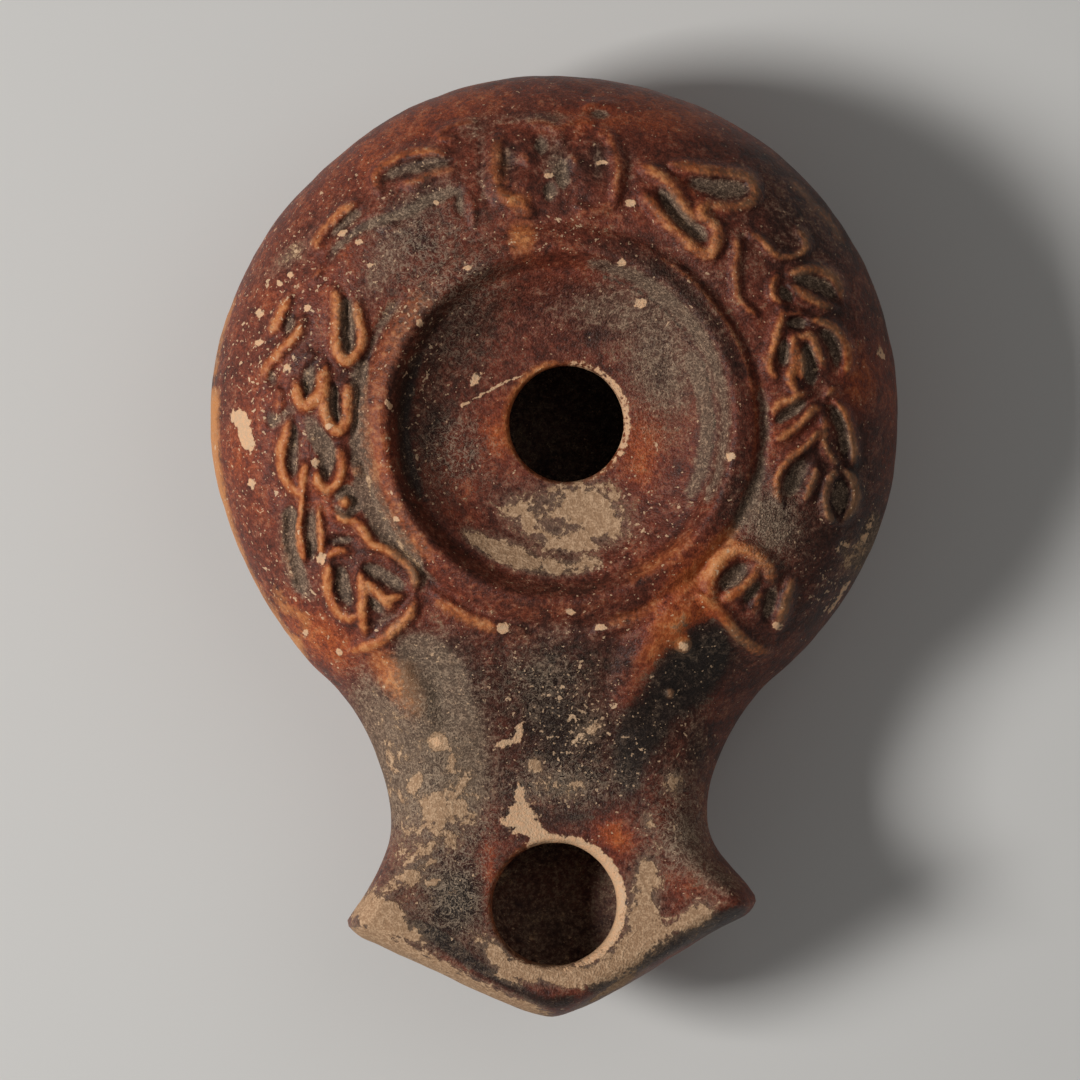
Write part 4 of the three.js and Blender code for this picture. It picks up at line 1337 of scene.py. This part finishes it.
class ClayShader:
    """The fired clay's shader. Its layers are laid in the order in which the finish came about."""

    def __init__(self, finish: FiredClay) -> None:
        """Starts the material with what its layers share.

        Args:
            finish: the colours and the gloss.
        """
        self.finish = finish
        self.graph = graph = Graph(finish.name)
        place = graph.node("ShaderNodeTexCoord", {}, {}).outputs["Object"]
        in_mm = graph.node("ShaderNodeVectorMath", {"operation": "SCALE"}, {0: place, "Scale": 1 / MM})
        where = in_mm.outputs[0]
        self.broad = graph.noise(where, 0.1, 2, 0.4)
        self.lumps = graph.noise(where, 0.5, 4, 0.6)
        self.fine = graph.noise(where, 1.9, 3)
        self.grain = graph.noise(where, 5.0, 2)
        self.flecks = graph.noise(where, 2.3, 1)
        self.chips = graph.noise(where, 1.0, 4, 0.4)
        threads = (0.045 - graph.noise(where, 0.75, 3, 1.8).size()).rise(0.0, 0.04)
        hairs = (0.04 - graph.noise(where, 1.9, 2, 1.8).size()).rise(0.0, 0.035)
        self.web = threads * 0.8 + hairs * 0.8
        self.dust = (graph.painted(Paint.DUST) + 0.8 * self.lumps + self.fine).rise(0.25, 0.85) * 0.85
        limed = graph.painted(Paint.CRUST) + 0.15 * self.web + 1.5 * self.lumps + 0.6 * self.fine
        self.crust = limed.rise(0.44, 0.54)
        self.bare = (graph.painted(Paint.BARE) + self.fine + 0.4 * self.lumps).rise(0.38, 0.52)

    def slip(self) -> Socket:
        """Mottles the slip, with painted shade in places, and lays the yellow band along the lit edge,
        partly a painted highlight.

        Returns:
            The colour.
        """
        graph = self.graph
        warmth = graph.painted(Paint.WARMTH) + 0.6 * self.broad + 0.8 * self.lumps + 0.45 * self.fine
        ramp = graph.node("ShaderNodeValToRGB", {"stops": self.finish.slip}, {"Fac": warmth})
        colour = graph.shaded(ramp.outputs["Color"], 1 + 1.7 * self.grain + 0.9 * self.fine)
        ochre = (graph.painted(Paint.OCHRE) + 0.6 * self.lumps + 0.6 * self.fine).rise(0.25, 1.0)
        return graph.over(colour, self.finish.ochre, ochre * 0.9)

    def dusted(self, colour: Socket) -> Socket:
        """Lays grey dust in the lows.

        Args:
            colour: what the dust lies on.

        Returns:
            The colour with the dust.
        """
        finish, graph = self.finish, self.graph
        paler = (1.4 * self.fine + 1.2 * self.grain + 0.35 * self.web).rise(0.0, 0.55)
        dust = graph.shaded(graph.over(finish.dust, finish.dust_pale, paler), 1 + 1.4 * self.grain)
        return graph.over(colour, dust, self.dust)

    def rubbed(self, colour: Socket) -> Socket:
        """Rubs the slip off the crests, to orange where it is warm and to dull brown where it is dark.

        Args:
            colour: what is rubbed.

        Returns:
            The colour with the rubbed crests.
        """
        finish, graph = self.finish, self.graph
        rubbing = graph.painted(Paint.WEAR)
        # Paler towards the crests' tops: rubbed clay, and partly a painted highlight.
        paler = (0.4 * rubbing + self.fine + 0.8 * self.lumps).rise(0.1, 0.65)
        warm = (graph.painted(Paint.WARMTH) + 0.5 * self.fine).rise(0.22, 0.46)
        worn = graph.over(finish.wear_dull, graph.over(finish.wear, finish.wear_and_highlight, paler), warm)
        wear = (rubbing + 0.5 * self.lumps + 0.6 * self.fine).rise(0.12, 0.9)
        return graph.over(colour, worn, wear * 0.9)

    def sooted_and_shaded(self, colour: Socket) -> Socket:
        """Lays soot and painted shade, and pale hairlines over it.

        Args:
            colour: what the soot and painted shade lie on.

        Returns:
            The colour with the soot and painted shade.
        """
        finish, graph = self.finish, self.graph
        cover = (graph.painted(Paint.SOOT) + 0.9 * self.lumps + 0.9 * self.fine).rise(0.35, 0.75)
        colour = graph.over(colour, graph.shaded(finish.soot, 1 + 2.5 * self.grain), cover * 0.88)
        return graph.over(colour, finish.hair, self.web * graph.painted(Paint.WEB) * 0.6)

    def crusted(self, colour: Socket) -> Socket:
        """Lays lime crust with a dusty film round it.

        Args:
            colour: what the crust lies on.

        Returns:
            The colour with the crust.
        """
        finish, graph = self.finish, self.graph
        filmed = graph.painted(Paint.CRUST) + 0.2 * self.web + 0.9 * self.lumps + 0.9 * self.fine
        film = graph.shaded(finish.dust_pale, 1 + 1.5 * self.grain)
        colour = graph.over(colour, film, filmed.rise(0.05, 0.6) * 0.5)
        paler = (1.3 * self.fine + 1.4 * self.grain).rise(-0.2, 0.4)
        return graph.over(colour, graph.over(finish.crust, finish.crust_pale, paler), self.crust * 0.85)

    def chipped(self, colour: Socket) -> Socket:
        """Bares the pale clay in chips and on the holes' rims, partly a painted highlight there, and
        scatters pale specks.

        Args:
            colour: what is chipped.

        Returns:
            The colour with the chips and specks.
        """
        finish, graph = self.finish, self.graph
        fresh = graph.over(finish.crust_pale, finish.bare, (self.fine + self.grain).rise(-0.15, 0.2))
        colour = graph.over(colour, fresh, self.bare * 0.9)
        density = graph.painted(Paint.SPECKS)
        large = (self.chips + 0.1 * density).rise(0.25, 0.27)
        small = (self.flecks + 0.1 * density).rise(0.255, 0.28)
        return graph.over(colour, finish.crust_pale, (large + small * 0.8) * 0.85)

    def bumps(self) -> Socket:
        """Works out the surface's finest unevenness.

        Returns:
            The normal.
        """
        grit = self.graph.painted(Paint.GRIT) * (self.fine.size() + 0.5 * self.grain)
        height = 0.1 * self.fine + 0.08 * self.grain + 0.07 * self.crust + 0.05 * self.bare + 0.35 * grit
        node = self.graph.node("ShaderNodeBump", {}, {"Height": height, "Distance": MM, "Strength": 1.0})
        return node.outputs["Normal"]

    def roughness(self) -> Wire:
        """The roughness: slip is the smoothest, and crust and dust are matt."""
        slip_or_crust = self.graph.between(0.46 + 0.4 * self.fine, self.finish.crust_roughness, self.crust)
        return self.graph.between(slip_or_crust, self.finish.dust_roughness, self.dust)

    def build(self) -> bpy.types.Material:
        """Lays the layers over each other.

        Returns:
            The material.
        """
        colour = self.slip()
        for layer in (self.dusted, self.rubbed, self.sooted_and_shaded, self.crusted, self.chipped):
            colour = layer(colour)
        inputs = {
            "Base Color": colour,
            "Roughness": self.roughness(),
            "Normal": self.bumps(),
            "Specular IOR Level": self.finish.gloss,
        }
        shader = self.graph.node("ShaderNodeBsdfPrincipled", {}, inputs)
        self.graph.node("ShaderNodeOutputMaterial", {}, {"Surface": shader.outputs[0]})
        return self.graph.material


@dataclass(frozen=True)
class PaleFloor:
    """A plain pale matt floor."""

    name: str = "pale_floor"
    colour: Colour = earth(214, 212, 208)
    roughness: float = 0.8

    def material(self) -> bpy.types.Material:
        """Makes the floor's material.

        Returns:
            The material.
        """
        graph = Graph(self.name)
        inputs = {"Base Color": self.colour, "Roughness": self.roughness}
        shader = graph.node("ShaderNodeBsdfPrincipled", {}, inputs)
        graph.node("ShaderNodeOutputMaterial", {}, {"Surface": shader.outputs[0]})
        return graph.material


# ---------------------------------------------------------------- the mesh


class Skin(Enum):
    """Which part of the lamp's skin a point lies on."""

    TOP = 0
    EDGE = 1
    UNDERSIDE = 2
    HOLE = 3
    INSIDE = 4


@dataclass
class Shell:
    """A closed shell of points and triangles under construction. Loops run anticlockwise from above."""

    points: list[np.ndarray] = field(default_factory=list)
    skins: list[np.ndarray] = field(default_factory=list)
    triangles: list[np.ndarray] = field(default_factory=list)
    count: int = 0

    # How far a sheet's own points keep from its loops.
    CLEAR_OF_SPACING = 0.45  # as a share of the sheet's spacing
    CLEAR_OF_SIDE = 0.55  # as a share of the loop's longest side

    def add(self, plan: np.ndarray, z: float | np.ndarray, skin: Skin) -> np.ndarray:
        """Adds points.

        Args:
            plan: their plan places, one row each.
            z: their heights.
            skin: the part of the skin that they lie on.

        Returns:
            The points' numbers.
        """
        self.points.append(np.column_stack([plan, np.broadcast_to(z, len(plan))]))
        self.skins.append(np.full(len(plan), skin.value))
        self.count += len(plan)
        return np.arange(self.count - len(plan), self.count)

    def bands(self, loops: Sequence[np.ndarray]) -> None:
        """Adds the bands between neighbouring loops.

        Args:
            loops: the numbers of each loop's points, as many in one as in the next.
        """
        for outer, inner in zip(loops, loops[1:]):
            next_outer, next_inner = np.roll(outer, -1), np.roll(inner, -1)
            self.triangles.append(np.column_stack([outer, next_outer, next_inner]))
            self.triangles.append(np.column_stack([outer, next_inner, inner]))

    def sheet(
        self,
        boundary: np.ndarray,
        holes: Sequence[np.ndarray],
        spacing: float,
        z_of: HeightAt,
        skin: Skin,
        up: bool,
    ) -> None:
        """Adds a sheet inside a boundary and outside its holes.

        Args:
            boundary: the numbers of the boundary's points.
            holes: the numbers of each hole's points.
            spacing: the distance between the sheet's own points.
            z_of: gives their heights.
            skin: the part of the skin that they lie on.
            up: whether the sheet faces up.
        """
        placed = np.vstack(self.points)
        rings = [placed[loop, :2] for loop in (boundary, *holes)]
        plan = lattice(spacing)
        plan = plan[between_loops(rings, plan)]
        for ring in rings:
            longest = np.hypot(*(ring - np.roll(ring, -1, axis=0)).T).max()
            clear = max(self.CLEAR_OF_SPACING * spacing, self.CLEAR_OF_SIDE * longest)
            plan = plan[distance_to(ring, plan) > clear]
        own = self.add(plan, z_of(plan), skin)
        flat = np.vstack([*rings, plan])
        triangles = triangulate(rings, flat)
        a, b, c = (flat[triangles[:, i]] for i in range(3))
        turn = (b[:, 0] - a[:, 0]) * (c[:, 1] - a[:, 1]) - (b[:, 1] - a[:, 1]) * (c[:, 0] - a[:, 0])
        wrong = (turn > 0) != up
        triangles[wrong] = triangles[wrong][:, ::-1]
        self.triangles.append(np.concatenate([boundary, *holes, own])[triangles])


def lattice(
    spacing: float, reach: float = 75.0, turn: float = 17.0, middle: Point = (0.0, -13.0)
) -> np.ndarray:
    """A lattice of equal triangles that covers the lamp in plan.

    Args:
        spacing: the distance between neighbours.
        reach: half the width of the lattice.
        turn: degrees that it is turned off the axes.
        middle: where its middle lies.

    Returns:
        The lattice's points, one row each.
    """
    ys = np.arange(-reach, reach, spacing * math.sin(math.pi / 3))
    xs = np.arange(-reach, reach, spacing)
    rows = [np.column_stack([xs + (i % 2) * spacing / 2, np.full(len(xs), y)]) for i, y in enumerate(ys)]
    cos, sin = math.cos(math.radians(turn)), math.sin(math.radians(turn))
    return np.vstack(rows) @ np.array([[cos, sin], [-sin, cos]]) + middle


def triangulate(rings: Sequence[np.ndarray], flat: np.ndarray, merge: float = 1e-7) -> np.ndarray:
    """Fills the plan inside the first ring and outside the others with triangles.

    Args:
        rings: the points of each ring, one row each.
        flat: the points of all the rings in turn, then the points between them.
        merge: points nearer than this are taken as one.

    Returns:
        The numbers of each triangle's corners, as rows of flat.
    """
    starts = np.cumsum([0] + [len(ring) for ring in rings])
    sides = [
        (int(start + i), int(start + (i + 1) % len(ring)))
        for start, ring in zip(starts, rings)
        for i in range(len(ring))
    ]
    made = delaunay_2d_cdt([Vector(point) for point in flat], sides, [], 0, merge, True)
    sources = np.array([source[0] for source in made[3]])
    triangles = sources[np.array(made[2])]
    on_rings = np.flatnonzero((triangles < starts[-1]).all(axis=1))
    keep = np.ones(len(triangles), bool)
    keep[on_rings] = between_loops(rings, flat[triangles[on_rings]].mean(axis=1))
    return triangles[keep]


@dataclass(frozen=True)
class Ageing:
    """How the paints lie over the lamp's skin, by its places, its relief and its parts."""

    slip_warmth: float = 0.42
    slip_specks: float = 0.25
    full_groove: float = 0.5  # depth of a groove that is full of dust and of painted shade
    groove_dust: float = 0.9
    # slip darkened in the grooves: painted shade
    groove_shade: float = 0.2
    rim_wear: float = 0.45
    edge_fade: Point = (11.5, 15.0)  # heights between which the top's paints end down the edge
    below_warmth: float = 0.55
    below_specks: float = 0.3
    below_crust: float = 0.12
    below_soot: float = 0.5
    soot_fade: Point = (36.0, 58.0)  # distances in front of the middle
    foot_width: float = 0.9  # of the wear round the base's edge
    foot_height: float = 2.5
    inside_warmth: float = 0.4
    inside_dust: float = 0.6

    def amounts(
        self, points: np.ndarray, skins: np.ndarray, sunk: np.ndarray, worn: np.ndarray, base_radius: float
    ) -> dict[Paint, np.ndarray]:
        """Works out how much of each paint lies at every point.

        Args:
            points: the mesh's points, one row of three each.
            skins: the part of the skin that each lies on.
            sunk: the depth of the grooves at each.
            worn: the wear on the ridges' crests at each.
            base_radius: the radius of the lamp's base.

        Returns:
            The amounts by paint.
        """
        amounts = self.on_top(points, sunk, worn)
        facing_up = np.isin(skins, (Skin.TOP.value, Skin.HOLE.value)).astype(float)
        on_edge = skins == Skin.EDGE.value
        facing_up[on_edge] = smoothstep(points[on_edge, 2], *self.edge_fade)
        for paint in Paint:
            amounts[paint] *= facing_up
        below = 1 - facing_up
        amounts[Paint.WARMTH] += self.below_warmth * below
        amounts[Paint.SPECKS] += self.below_specks * below
        amounts[Paint.CRUST] += self.below_crust * below
        amounts[Paint.SOOT] += self.below_soot * below * smoothstep(-points[:, 1], *self.soot_fade)
        from_foot = (np.hypot(points[:, 0], points[:, 1]) - base_radius) / self.foot_width
        amounts[Paint.WEAR] += np.exp(-(from_foot**2)) * (points[:, 2] < self.foot_height)
        within = skins == Skin.INSIDE.value
        amounts[Paint.WARMTH][within] = self.inside_warmth
        amounts[Paint.DUST][within] = self.inside_dust
        amounts[Paint.WEAR][within] = 0
        amounts[Paint.SOOT][within] = 0
        return amounts

    def on_top(self, points: np.ndarray, sunk: np.ndarray, worn: np.ndarray) -> dict[Paint, np.ndarray]:
        """Works out the paints of the lamp's top, as if all of it faced up.

        Args:
            points: the points, one row each.
            sunk: the depth of the grooves at each.
            worn: the wear on the ridges' crests at each.

        Returns:
            The amounts by paint.
        """
        amounts = {paint: np.zeros(len(points)) for paint in Paint}
        amounts[Paint.WARMTH] += self.slip_warmth
        amounts[Paint.SPECKS] += self.slip_specks
        for mark in (*PATCHES, *STREAKS):
            amounts[mark.paint] += mark.at(points)
        sunk_share = np.clip(sunk / self.full_groove, 0, 1)
        amounts[Paint.WEAR] += worn
        amounts[Paint.DUST] += self.groove_dust * sunk_share
        # Darker slip in the grooves: painted shade.
        amounts[Paint.WARMTH] -= self.groove_shade * sunk_share
        for hole in (FILLING_HOLE, WICK_HOLE):
            rim, bare = hole.rim_at(points)
            # Pale rims of the holes, partly a painted highlight on their lit sides.
            amounts[Paint.BARE] += bare
            amounts[Paint.WEAR] += self.rim_wear * rim
        return amounts


@dataclass
class Lamp:
    """The lamp, one piece of fired clay: an open hollow shell with its relief."""

    name: str = "fired_lamp"
    node: str = "lamp"
    slot: str = "fired_clay"
    form: Form = field(default_factory=Form)
    ageing: Ageing = Ageing()
    finish: FiredClay = FiredClay()

    edge_inset: float = 1.2  # width of the strip of finer rows along the edge
    edge_rows: int = 9
    inside_inset: float = 1.9
    inside_rows: tuple[float, ...] = (0.06, 0.25, 0.55, 1.0)  # as shares of the inset
    top_step: float = 0.3
    underside_step: float = 1.0
    inside_step: float = 1.9
    spine_end: float = -50.0  # the front end of the line that insets move towards
    # The base's edge, as reach beyond the base's radius and height.
    foot_profile: tuple[Point, ...] = ((0.9, 1.2), (0.35, 1.0), (0.12, 0.7), (0.0, 0.3), (-0.3, 0.0))
    foot_steps: int = 180
    base_dip: float = 0.35
    base_dip_fade: Point = (9.0, 15.5)  # radii between which the dip runs out
    rim_turns: tuple[float, ...] = (0.25, 0.5, 0.75, 1.0)  # shares of the rounded rim of a hole
    wall_shares: tuple[float, ...] = (0.3, 0.65, 1.0)  # shares of the way down a hole

    wander: tuple[Unevenness, Unevenness] = (Unevenness(21, 1.6), Unevenness(22, 1.6))
    wander_reach: float = 0.09  # how far the strokes stray sideways
    strength: Unevenness = Unevenness(23, 1.3)
    strength_swing: float = 0.22  # how much the relief's height varies
    merging: int = 3  # power by which crossing ridges run together instead of piling up
    rubbed_height: float = 0.7  # ridges of this height are rubbed the most
    covering_height: float = 0.6  # ridges of this height hide the grooves that they cross
    lumps: tuple[tuple[Unevenness, float], ...] = (
        (Unevenness(11, 9.0), 0.16),
        (Unevenness(12, 3.1), 0.07),
        (Unevenness(13, 1.1), 0.03),
    )
    standing: float = 0.05  # the base is flat up to this height
    clearance: float = 0.005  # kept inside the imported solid's box
    paint_range: Point = (-0.5, 1.6)

    def relief(self, plan: np.ndarray) -> tuple[np.ndarray, np.ndarray, np.ndarray]:
        """The carving over plan points.

        Args:
            plan: the points, one row each.

        Returns:
            The height of the ridges, the depth of the grooves, both 0 or more, and the wear on the crests.
        """
        flat = np.column_stack([plan[:, :2], np.zeros(len(plan))])
        wander = np.column_stack([noise.at(flat) for noise in self.wander])
        strength = 1 + self.strength_swing * self.strength.at(flat)
        moved = flat[:, :2] + self.wander_reach * wander
        raised, sunk, worn = (np.zeros(len(plan)) for _ in range(3))
        for group in CARVING:
            for stroke in group.strokes:
                height = stroke.height * stroke.share(moved)
                if stroke.height > 0:
                    raised = (raised**self.merging + height**self.merging) ** (1 / self.merging)
                    rubbed = np.clip(height / self.rubbed_height, 0, 1) ** 2
                    worn = np.maximum(worn, group.worn * rubbed)
                else:
                    sunk = np.maximum(sunk, -height)
        return raised * strength, sunk * strength, worn * strength

    def surface_z(self, plan: np.ndarray) -> np.ndarray:
        """Height of the carved top.

        Args:
            plan: the points, one row each.

        Returns:
            The height at each point.
        """
        raised, sunk, _ = self.relief(plan)
        carved = raised - sunk * (1 - np.clip(raised / self.covering_height, 0, 1))
        return self.form.top_z(plan) + self.form.ring_z(plan) + carved

    def base_z(self, plan: np.ndarray) -> np.ndarray:
        """Height of the base's underside, slightly hollow so that the lamp stands on its rim."""
        return self.base_dip * (1 - smoothstep(np.hypot(*plan.T), *self.base_dip_fade))

    def inset(self, loop: np.ndarray, distance: float) -> np.ndarray:
        """Moves a loop inwards, towards the line down the lamp's middle.

        Args:
            loop: the loop's plan points, one row each.
            distance: how far each point moves.

        Returns:
            The moved points.
        """
        foot = np.column_stack([np.zeros(len(loop)), np.clip(loop[:, 1], self.spine_end, 0)])
        towards = foot - loop
        return loop + distance * towards / np.hypot(*towards.T)[:, None]

    def inset_rows(
        self, shell: Shell, loop: np.ndarray, insets: Iterable[float], z_of: HeightAt, skin: Skin
    ) -> list[np.ndarray]:
        """Adds copies of a loop, each moved inwards by its inset.

        Args:
            shell: the shell that they are added to.
            loop: the loop's plan points, one row each.
            insets: how far each copy is moved.
            z_of: gives the points' heights.
            skin: the part of the skin that they lie on.

        Returns:
            The numbers of each copy's points.
        """
        moved = [self.inset(loop, distance) for distance in insets]
        return [shell.add(plan, z_of(plan), skin) for plan in moved]

    def hole_rows(self, shell: Shell, hole: Hole) -> list[np.ndarray]:
        """Adds the loops of a hole, from the outside of its rim down to the ceiling inside.

        Args:
            shell: the shell that they are added to.
            hole: the hole.

        Returns:
            The numbers of each loop's points.
        """
        outer = hole.loop(0)
        top = self.surface_z(outer)
        loops = [shell.add(outer, top, Skin.TOP)]
        for turn in self.rim_turns:
            angle = turn * math.pi / 2
            drop = hole.drop * (1 - math.cos(angle))
            loops.append(shell.add(hole.loop(math.sin(angle)), top - drop, Skin.HOLE))
        wall = hole.loop(1)
        bottom = self.form.ceiling_z(wall)
        for share in self.wall_shares:
            loops.append(shell.add(wall, lerp(top - hole.drop, bottom, share), Skin.HOLE))
        return loops

    def lay_edge(self, shell: Shell) -> tuple[np.ndarray, np.ndarray]:
        """Lays the strip round the lamp's edge, with rows that lie closer towards the edge itself.

        Args:
            shell: the shell that it is added to.

        Returns:
            The numbers of the strip's inner loops, on the top and on the underside.
        """
        form = self.form
        insets = [self.edge_inset * (row / self.edge_rows) ** 2 for row in range(1, self.edge_rows + 1)]
        edge = shell.add(form.rim, form.edge_z(form.rim), Skin.EDGE)
        top = self.inset_rows(shell, form.rim, insets, form.top_z, Skin.EDGE)
        underside = self.inset_rows(shell, form.rim, insets[::-1], form.underside_z, Skin.EDGE)
        shell.bands([*underside, edge, *top])
        return top[-1], underside[0]

    def lay_underside(self, shell: Shell, boundary: np.ndarray) -> None:
        """Lays the underside and the base.

        Args:
            shell: the shell that they are added to.
            boundary: the numbers of the underside's outer loop.
        """
        turns = [heading(-360 * i / self.foot_steps) for i in range(self.foot_steps)]
        foot = [
            shell.add(np.array([(self.form.base_radius + out) * turn for turn in turns]), z, Skin.UNDERSIDE)
            for out, z in self.foot_profile
        ]
        shell.bands(foot[::-1])
        shell.sheet(foot[-1], [], self.underside_step, self.base_z, Skin.UNDERSIDE, up=False)
        under = self.form.underside_z
        shell.sheet(boundary, [foot[0]], self.underside_step, under, Skin.UNDERSIDE, up=False)

    def lay_top(self, shell: Shell, boundary: np.ndarray) -> list[np.ndarray]:
        """Lays the carved top and the walls of its holes.

        Args:
            shell: the shell that they are added to.
            boundary: the numbers of the top's outer loop.

        Returns:
            The numbers of the loops where the holes meet the ceiling.
        """
        walls = [self.hole_rows(shell, hole) for hole in (FILLING_HOLE, WICK_HOLE)]
        shell.sheet(boundary, [wall[0] for wall in walls], self.top_step, self.surface_z, Skin.TOP, up=True)
        for wall in walls:
            shell.bands(wall)
        return [wall[-1] for wall in walls]

    def lay_hollow(self, shell: Shell, mouths: Sequence[np.ndarray]) -> None:
        """Lays the ceiling and the floor of the hollow.

        Args:
            shell: the shell that they are added to.
            mouths: the numbers of the loops where the holes meet the ceiling.
        """
        form, step = self.form, self.inside_step
        insets = [self.inside_inset * share for share in self.inside_rows]
        edge = shell.add(form.hollow_rim, form.edge_z(form.hollow_rim), Skin.INSIDE)
        ceiling = self.inset_rows(shell, form.hollow_rim, insets[::-1], form.ceiling_z, Skin.INSIDE)
        floor = self.inset_rows(shell, form.hollow_rim, insets, form.floor_z, Skin.INSIDE)
        shell.bands([*ceiling, edge, *floor])
        shell.sheet(ceiling[0], mouths, step, form.ceiling_z, Skin.INSIDE, up=False)
        shell.sheet(floor[-1], [], step, form.floor_z, Skin.INSIDE, up=True)

    def build_shell(self) -> Shell:
        """Lays the lamp's whole skin.

        Returns:
            The closed shell.
        """
        shell = Shell()
        top, underside = self.lay_edge(shell)
        self.lay_underside(shell, underside)
        mouths = self.lay_top(shell, top)
        self.lay_hollow(shell, mouths)
        return shell

    def paint(self, points: np.ndarray, skins: np.ndarray) -> dict[Paint, np.ndarray]:
        """How much of each paint lies at every point of the mesh."""
        _, sunk, worn = self.relief(points)
        return self.ageing.amounts(points, skins, sunk, worn, self.form.base_radius)

    def roughened(self, mesh: bpy.types.Mesh, points: np.ndarray, skins: np.ndarray) -> np.ndarray:
        """Moves the points in and out along the surface's normals, and keeps them in the solid's box.

        Args:
            mesh: the mesh, which gives the normals.
            points: its points, one row of three each.
            skins: the part of the skin that each lies on.

        Returns:
            The moved points.
        """
        normals = np.zeros(len(points) * 3)
        mesh.vertices.foreach_get("normal", normals)
        uneven = sum(size * noise.at(points) for noise, size in self.lumps)
        uneven[(points[:, 2] < self.standing) | (skins == Skin.INSIDE.value)] = 0
        low, high = (np.array(corner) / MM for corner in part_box(self.node))
        moved = points + normals.reshape(-1, 3) * uneven[:, None]
        return np.clip(moved, low + (self.clearance, self.clearance, 0.0), high - self.clearance)

    def build(self) -> bpy.types.Object:
        """Makes the lamp's mesh with its paints and puts it in the frame.

        Returns:
            The lamp.
        """
        shell = self.build_shell()
        points, skins = np.vstack(shell.points), np.concatenate(shell.skins)
        mesh = bpy.data.meshes.new(self.name)
        mesh.from_pydata(points.tolist(), [], np.vstack(shell.triangles).tolist())
        mesh.update()
        moved = self.roughened(mesh, points, skins)
        mesh.vertices.foreach_set("co", (moved * MM).ravel())
        mesh.polygons.foreach_set("use_smooth", np.ones(len(mesh.polygons), bool))
        for paint, amount in self.paint(points, skins).items():
            held = mesh.attributes.new(paint.value, "FLOAT", "POINT")
            held.data.foreach_set("value", np.clip(amount, *self.paint_range).astype(np.float32))
        mesh.update()
        mesh.validate()
        mesh.materials.append(self.finish.material())

        lamp = bpy.data.objects.new(self.name, mesh)
        bpy.context.scene.collection.objects.link(lamp)
        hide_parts(self.node)
        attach(lamp, "root")
        LOG.info("%s: %d points, %d triangles", self.name, len(mesh.vertices), len(mesh.polygons))
        return lamp


# ---------------------------------------------------------------- the studio


@dataclass(frozen=True)
class SoftLight:
    """A square area light that faces the lamp."""

    name: str
    place: Place
    size: float
    power: float  # in watts

    def build(self, aim: Vector) -> bpy.types.Object:
        """Makes the light.

        Args:
            aim: what it faces, in metres.

        Returns:
            The light.
        """
        data = bpy.data.lights.new(self.name, "AREA")
        data.size, data.energy = self.size * MM, self.power
        light = bpy.data.objects.new(self.name, data)
        light.location = Vector(self.place) * MM
        light.rotation_euler = (aim - light.location).to_track_quat("-Z", "Y").to_euler()
        bpy.context.scene.collection.objects.link(light)
        return light


@dataclass
class Studio:
    """The camera straight above, a pale floor and soft light from the left."""

    middle: Place = (-1.5, -12.3, 16.0)  # what the camera looks at
    view_width: float = 113.4
    camera_height: float = 1500.0
    sensor: float = 36.0
    clip: Point = (10.0, 20000.0)
    floor_reach: float = 3000.0
    lights: tuple[SoftLight, ...] = (
        SoftLight("key", (-640, -60, 590), 230, 6.4),
        SoftLight("fill", (450, 250, 900), 700, 0.7),
    )
    sky: float = 0.13

    def build_camera(self) -> bpy.types.Object:
        """Makes the camera and sets it as the scene's.

        Returns:
            The camera.
        """
        data = bpy.data.cameras.new("camera")
        data.sensor_width = self.sensor
        data.lens = self.sensor * (self.camera_height - self.middle[2]) / self.view_width
        data.clip_start, data.clip_end = (distance * MM for distance in self.clip)
        camera = bpy.data.objects.new("camera", data)
        camera.location = Vector((self.middle[0], self.middle[1], self.camera_height)) * MM
        bpy.context.scene.collection.objects.link(camera)
        bpy.context.scene.camera = camera
        return camera

    def build_floor(self) -> bpy.types.Object:
        """Makes the pale floor.

        Returns:
            The floor.
        """
        reach = self.floor_reach * MM
        mesh = bpy.data.meshes.new("floor")
        corners = [(x * reach, y * reach, 0) for x, y in ((-1, -1), (1, -1), (1, 1), (-1, 1))]
        mesh.from_pydata(corners, [], [(0, 1, 2, 3)])
        mesh.materials.append(PaleFloor().material())
        floor = bpy.data.objects.new("floor", mesh)
        bpy.context.scene.collection.objects.link(floor)
        return floor

    def build(self) -> None:
        """Makes the floor and the lights, and sets how the picture shows colours."""
        self.build_floor()
        for light in self.lights:
            light.build(Vector(self.middle) * MM)
        world = bpy.data.worlds.new("studio")
        world.use_nodes = True
        background = world.node_tree.nodes["Background"]
        background.inputs["Color"].default_value = (1, 1, 1, 1)
        background.inputs["Strength"].default_value = self.sky
        bpy.context.scene.world = world
        bpy.context.scene.view_settings.view_transform = "Standard"


def main() -> None:
    """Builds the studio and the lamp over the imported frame."""
    logging.basicConfig(level=logging.INFO, format="%(message)s")
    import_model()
    studio = Studio()
    studio.build_camera()
    Lamp().build()
    studio.build()


if __name__ == "__main__":
    main()
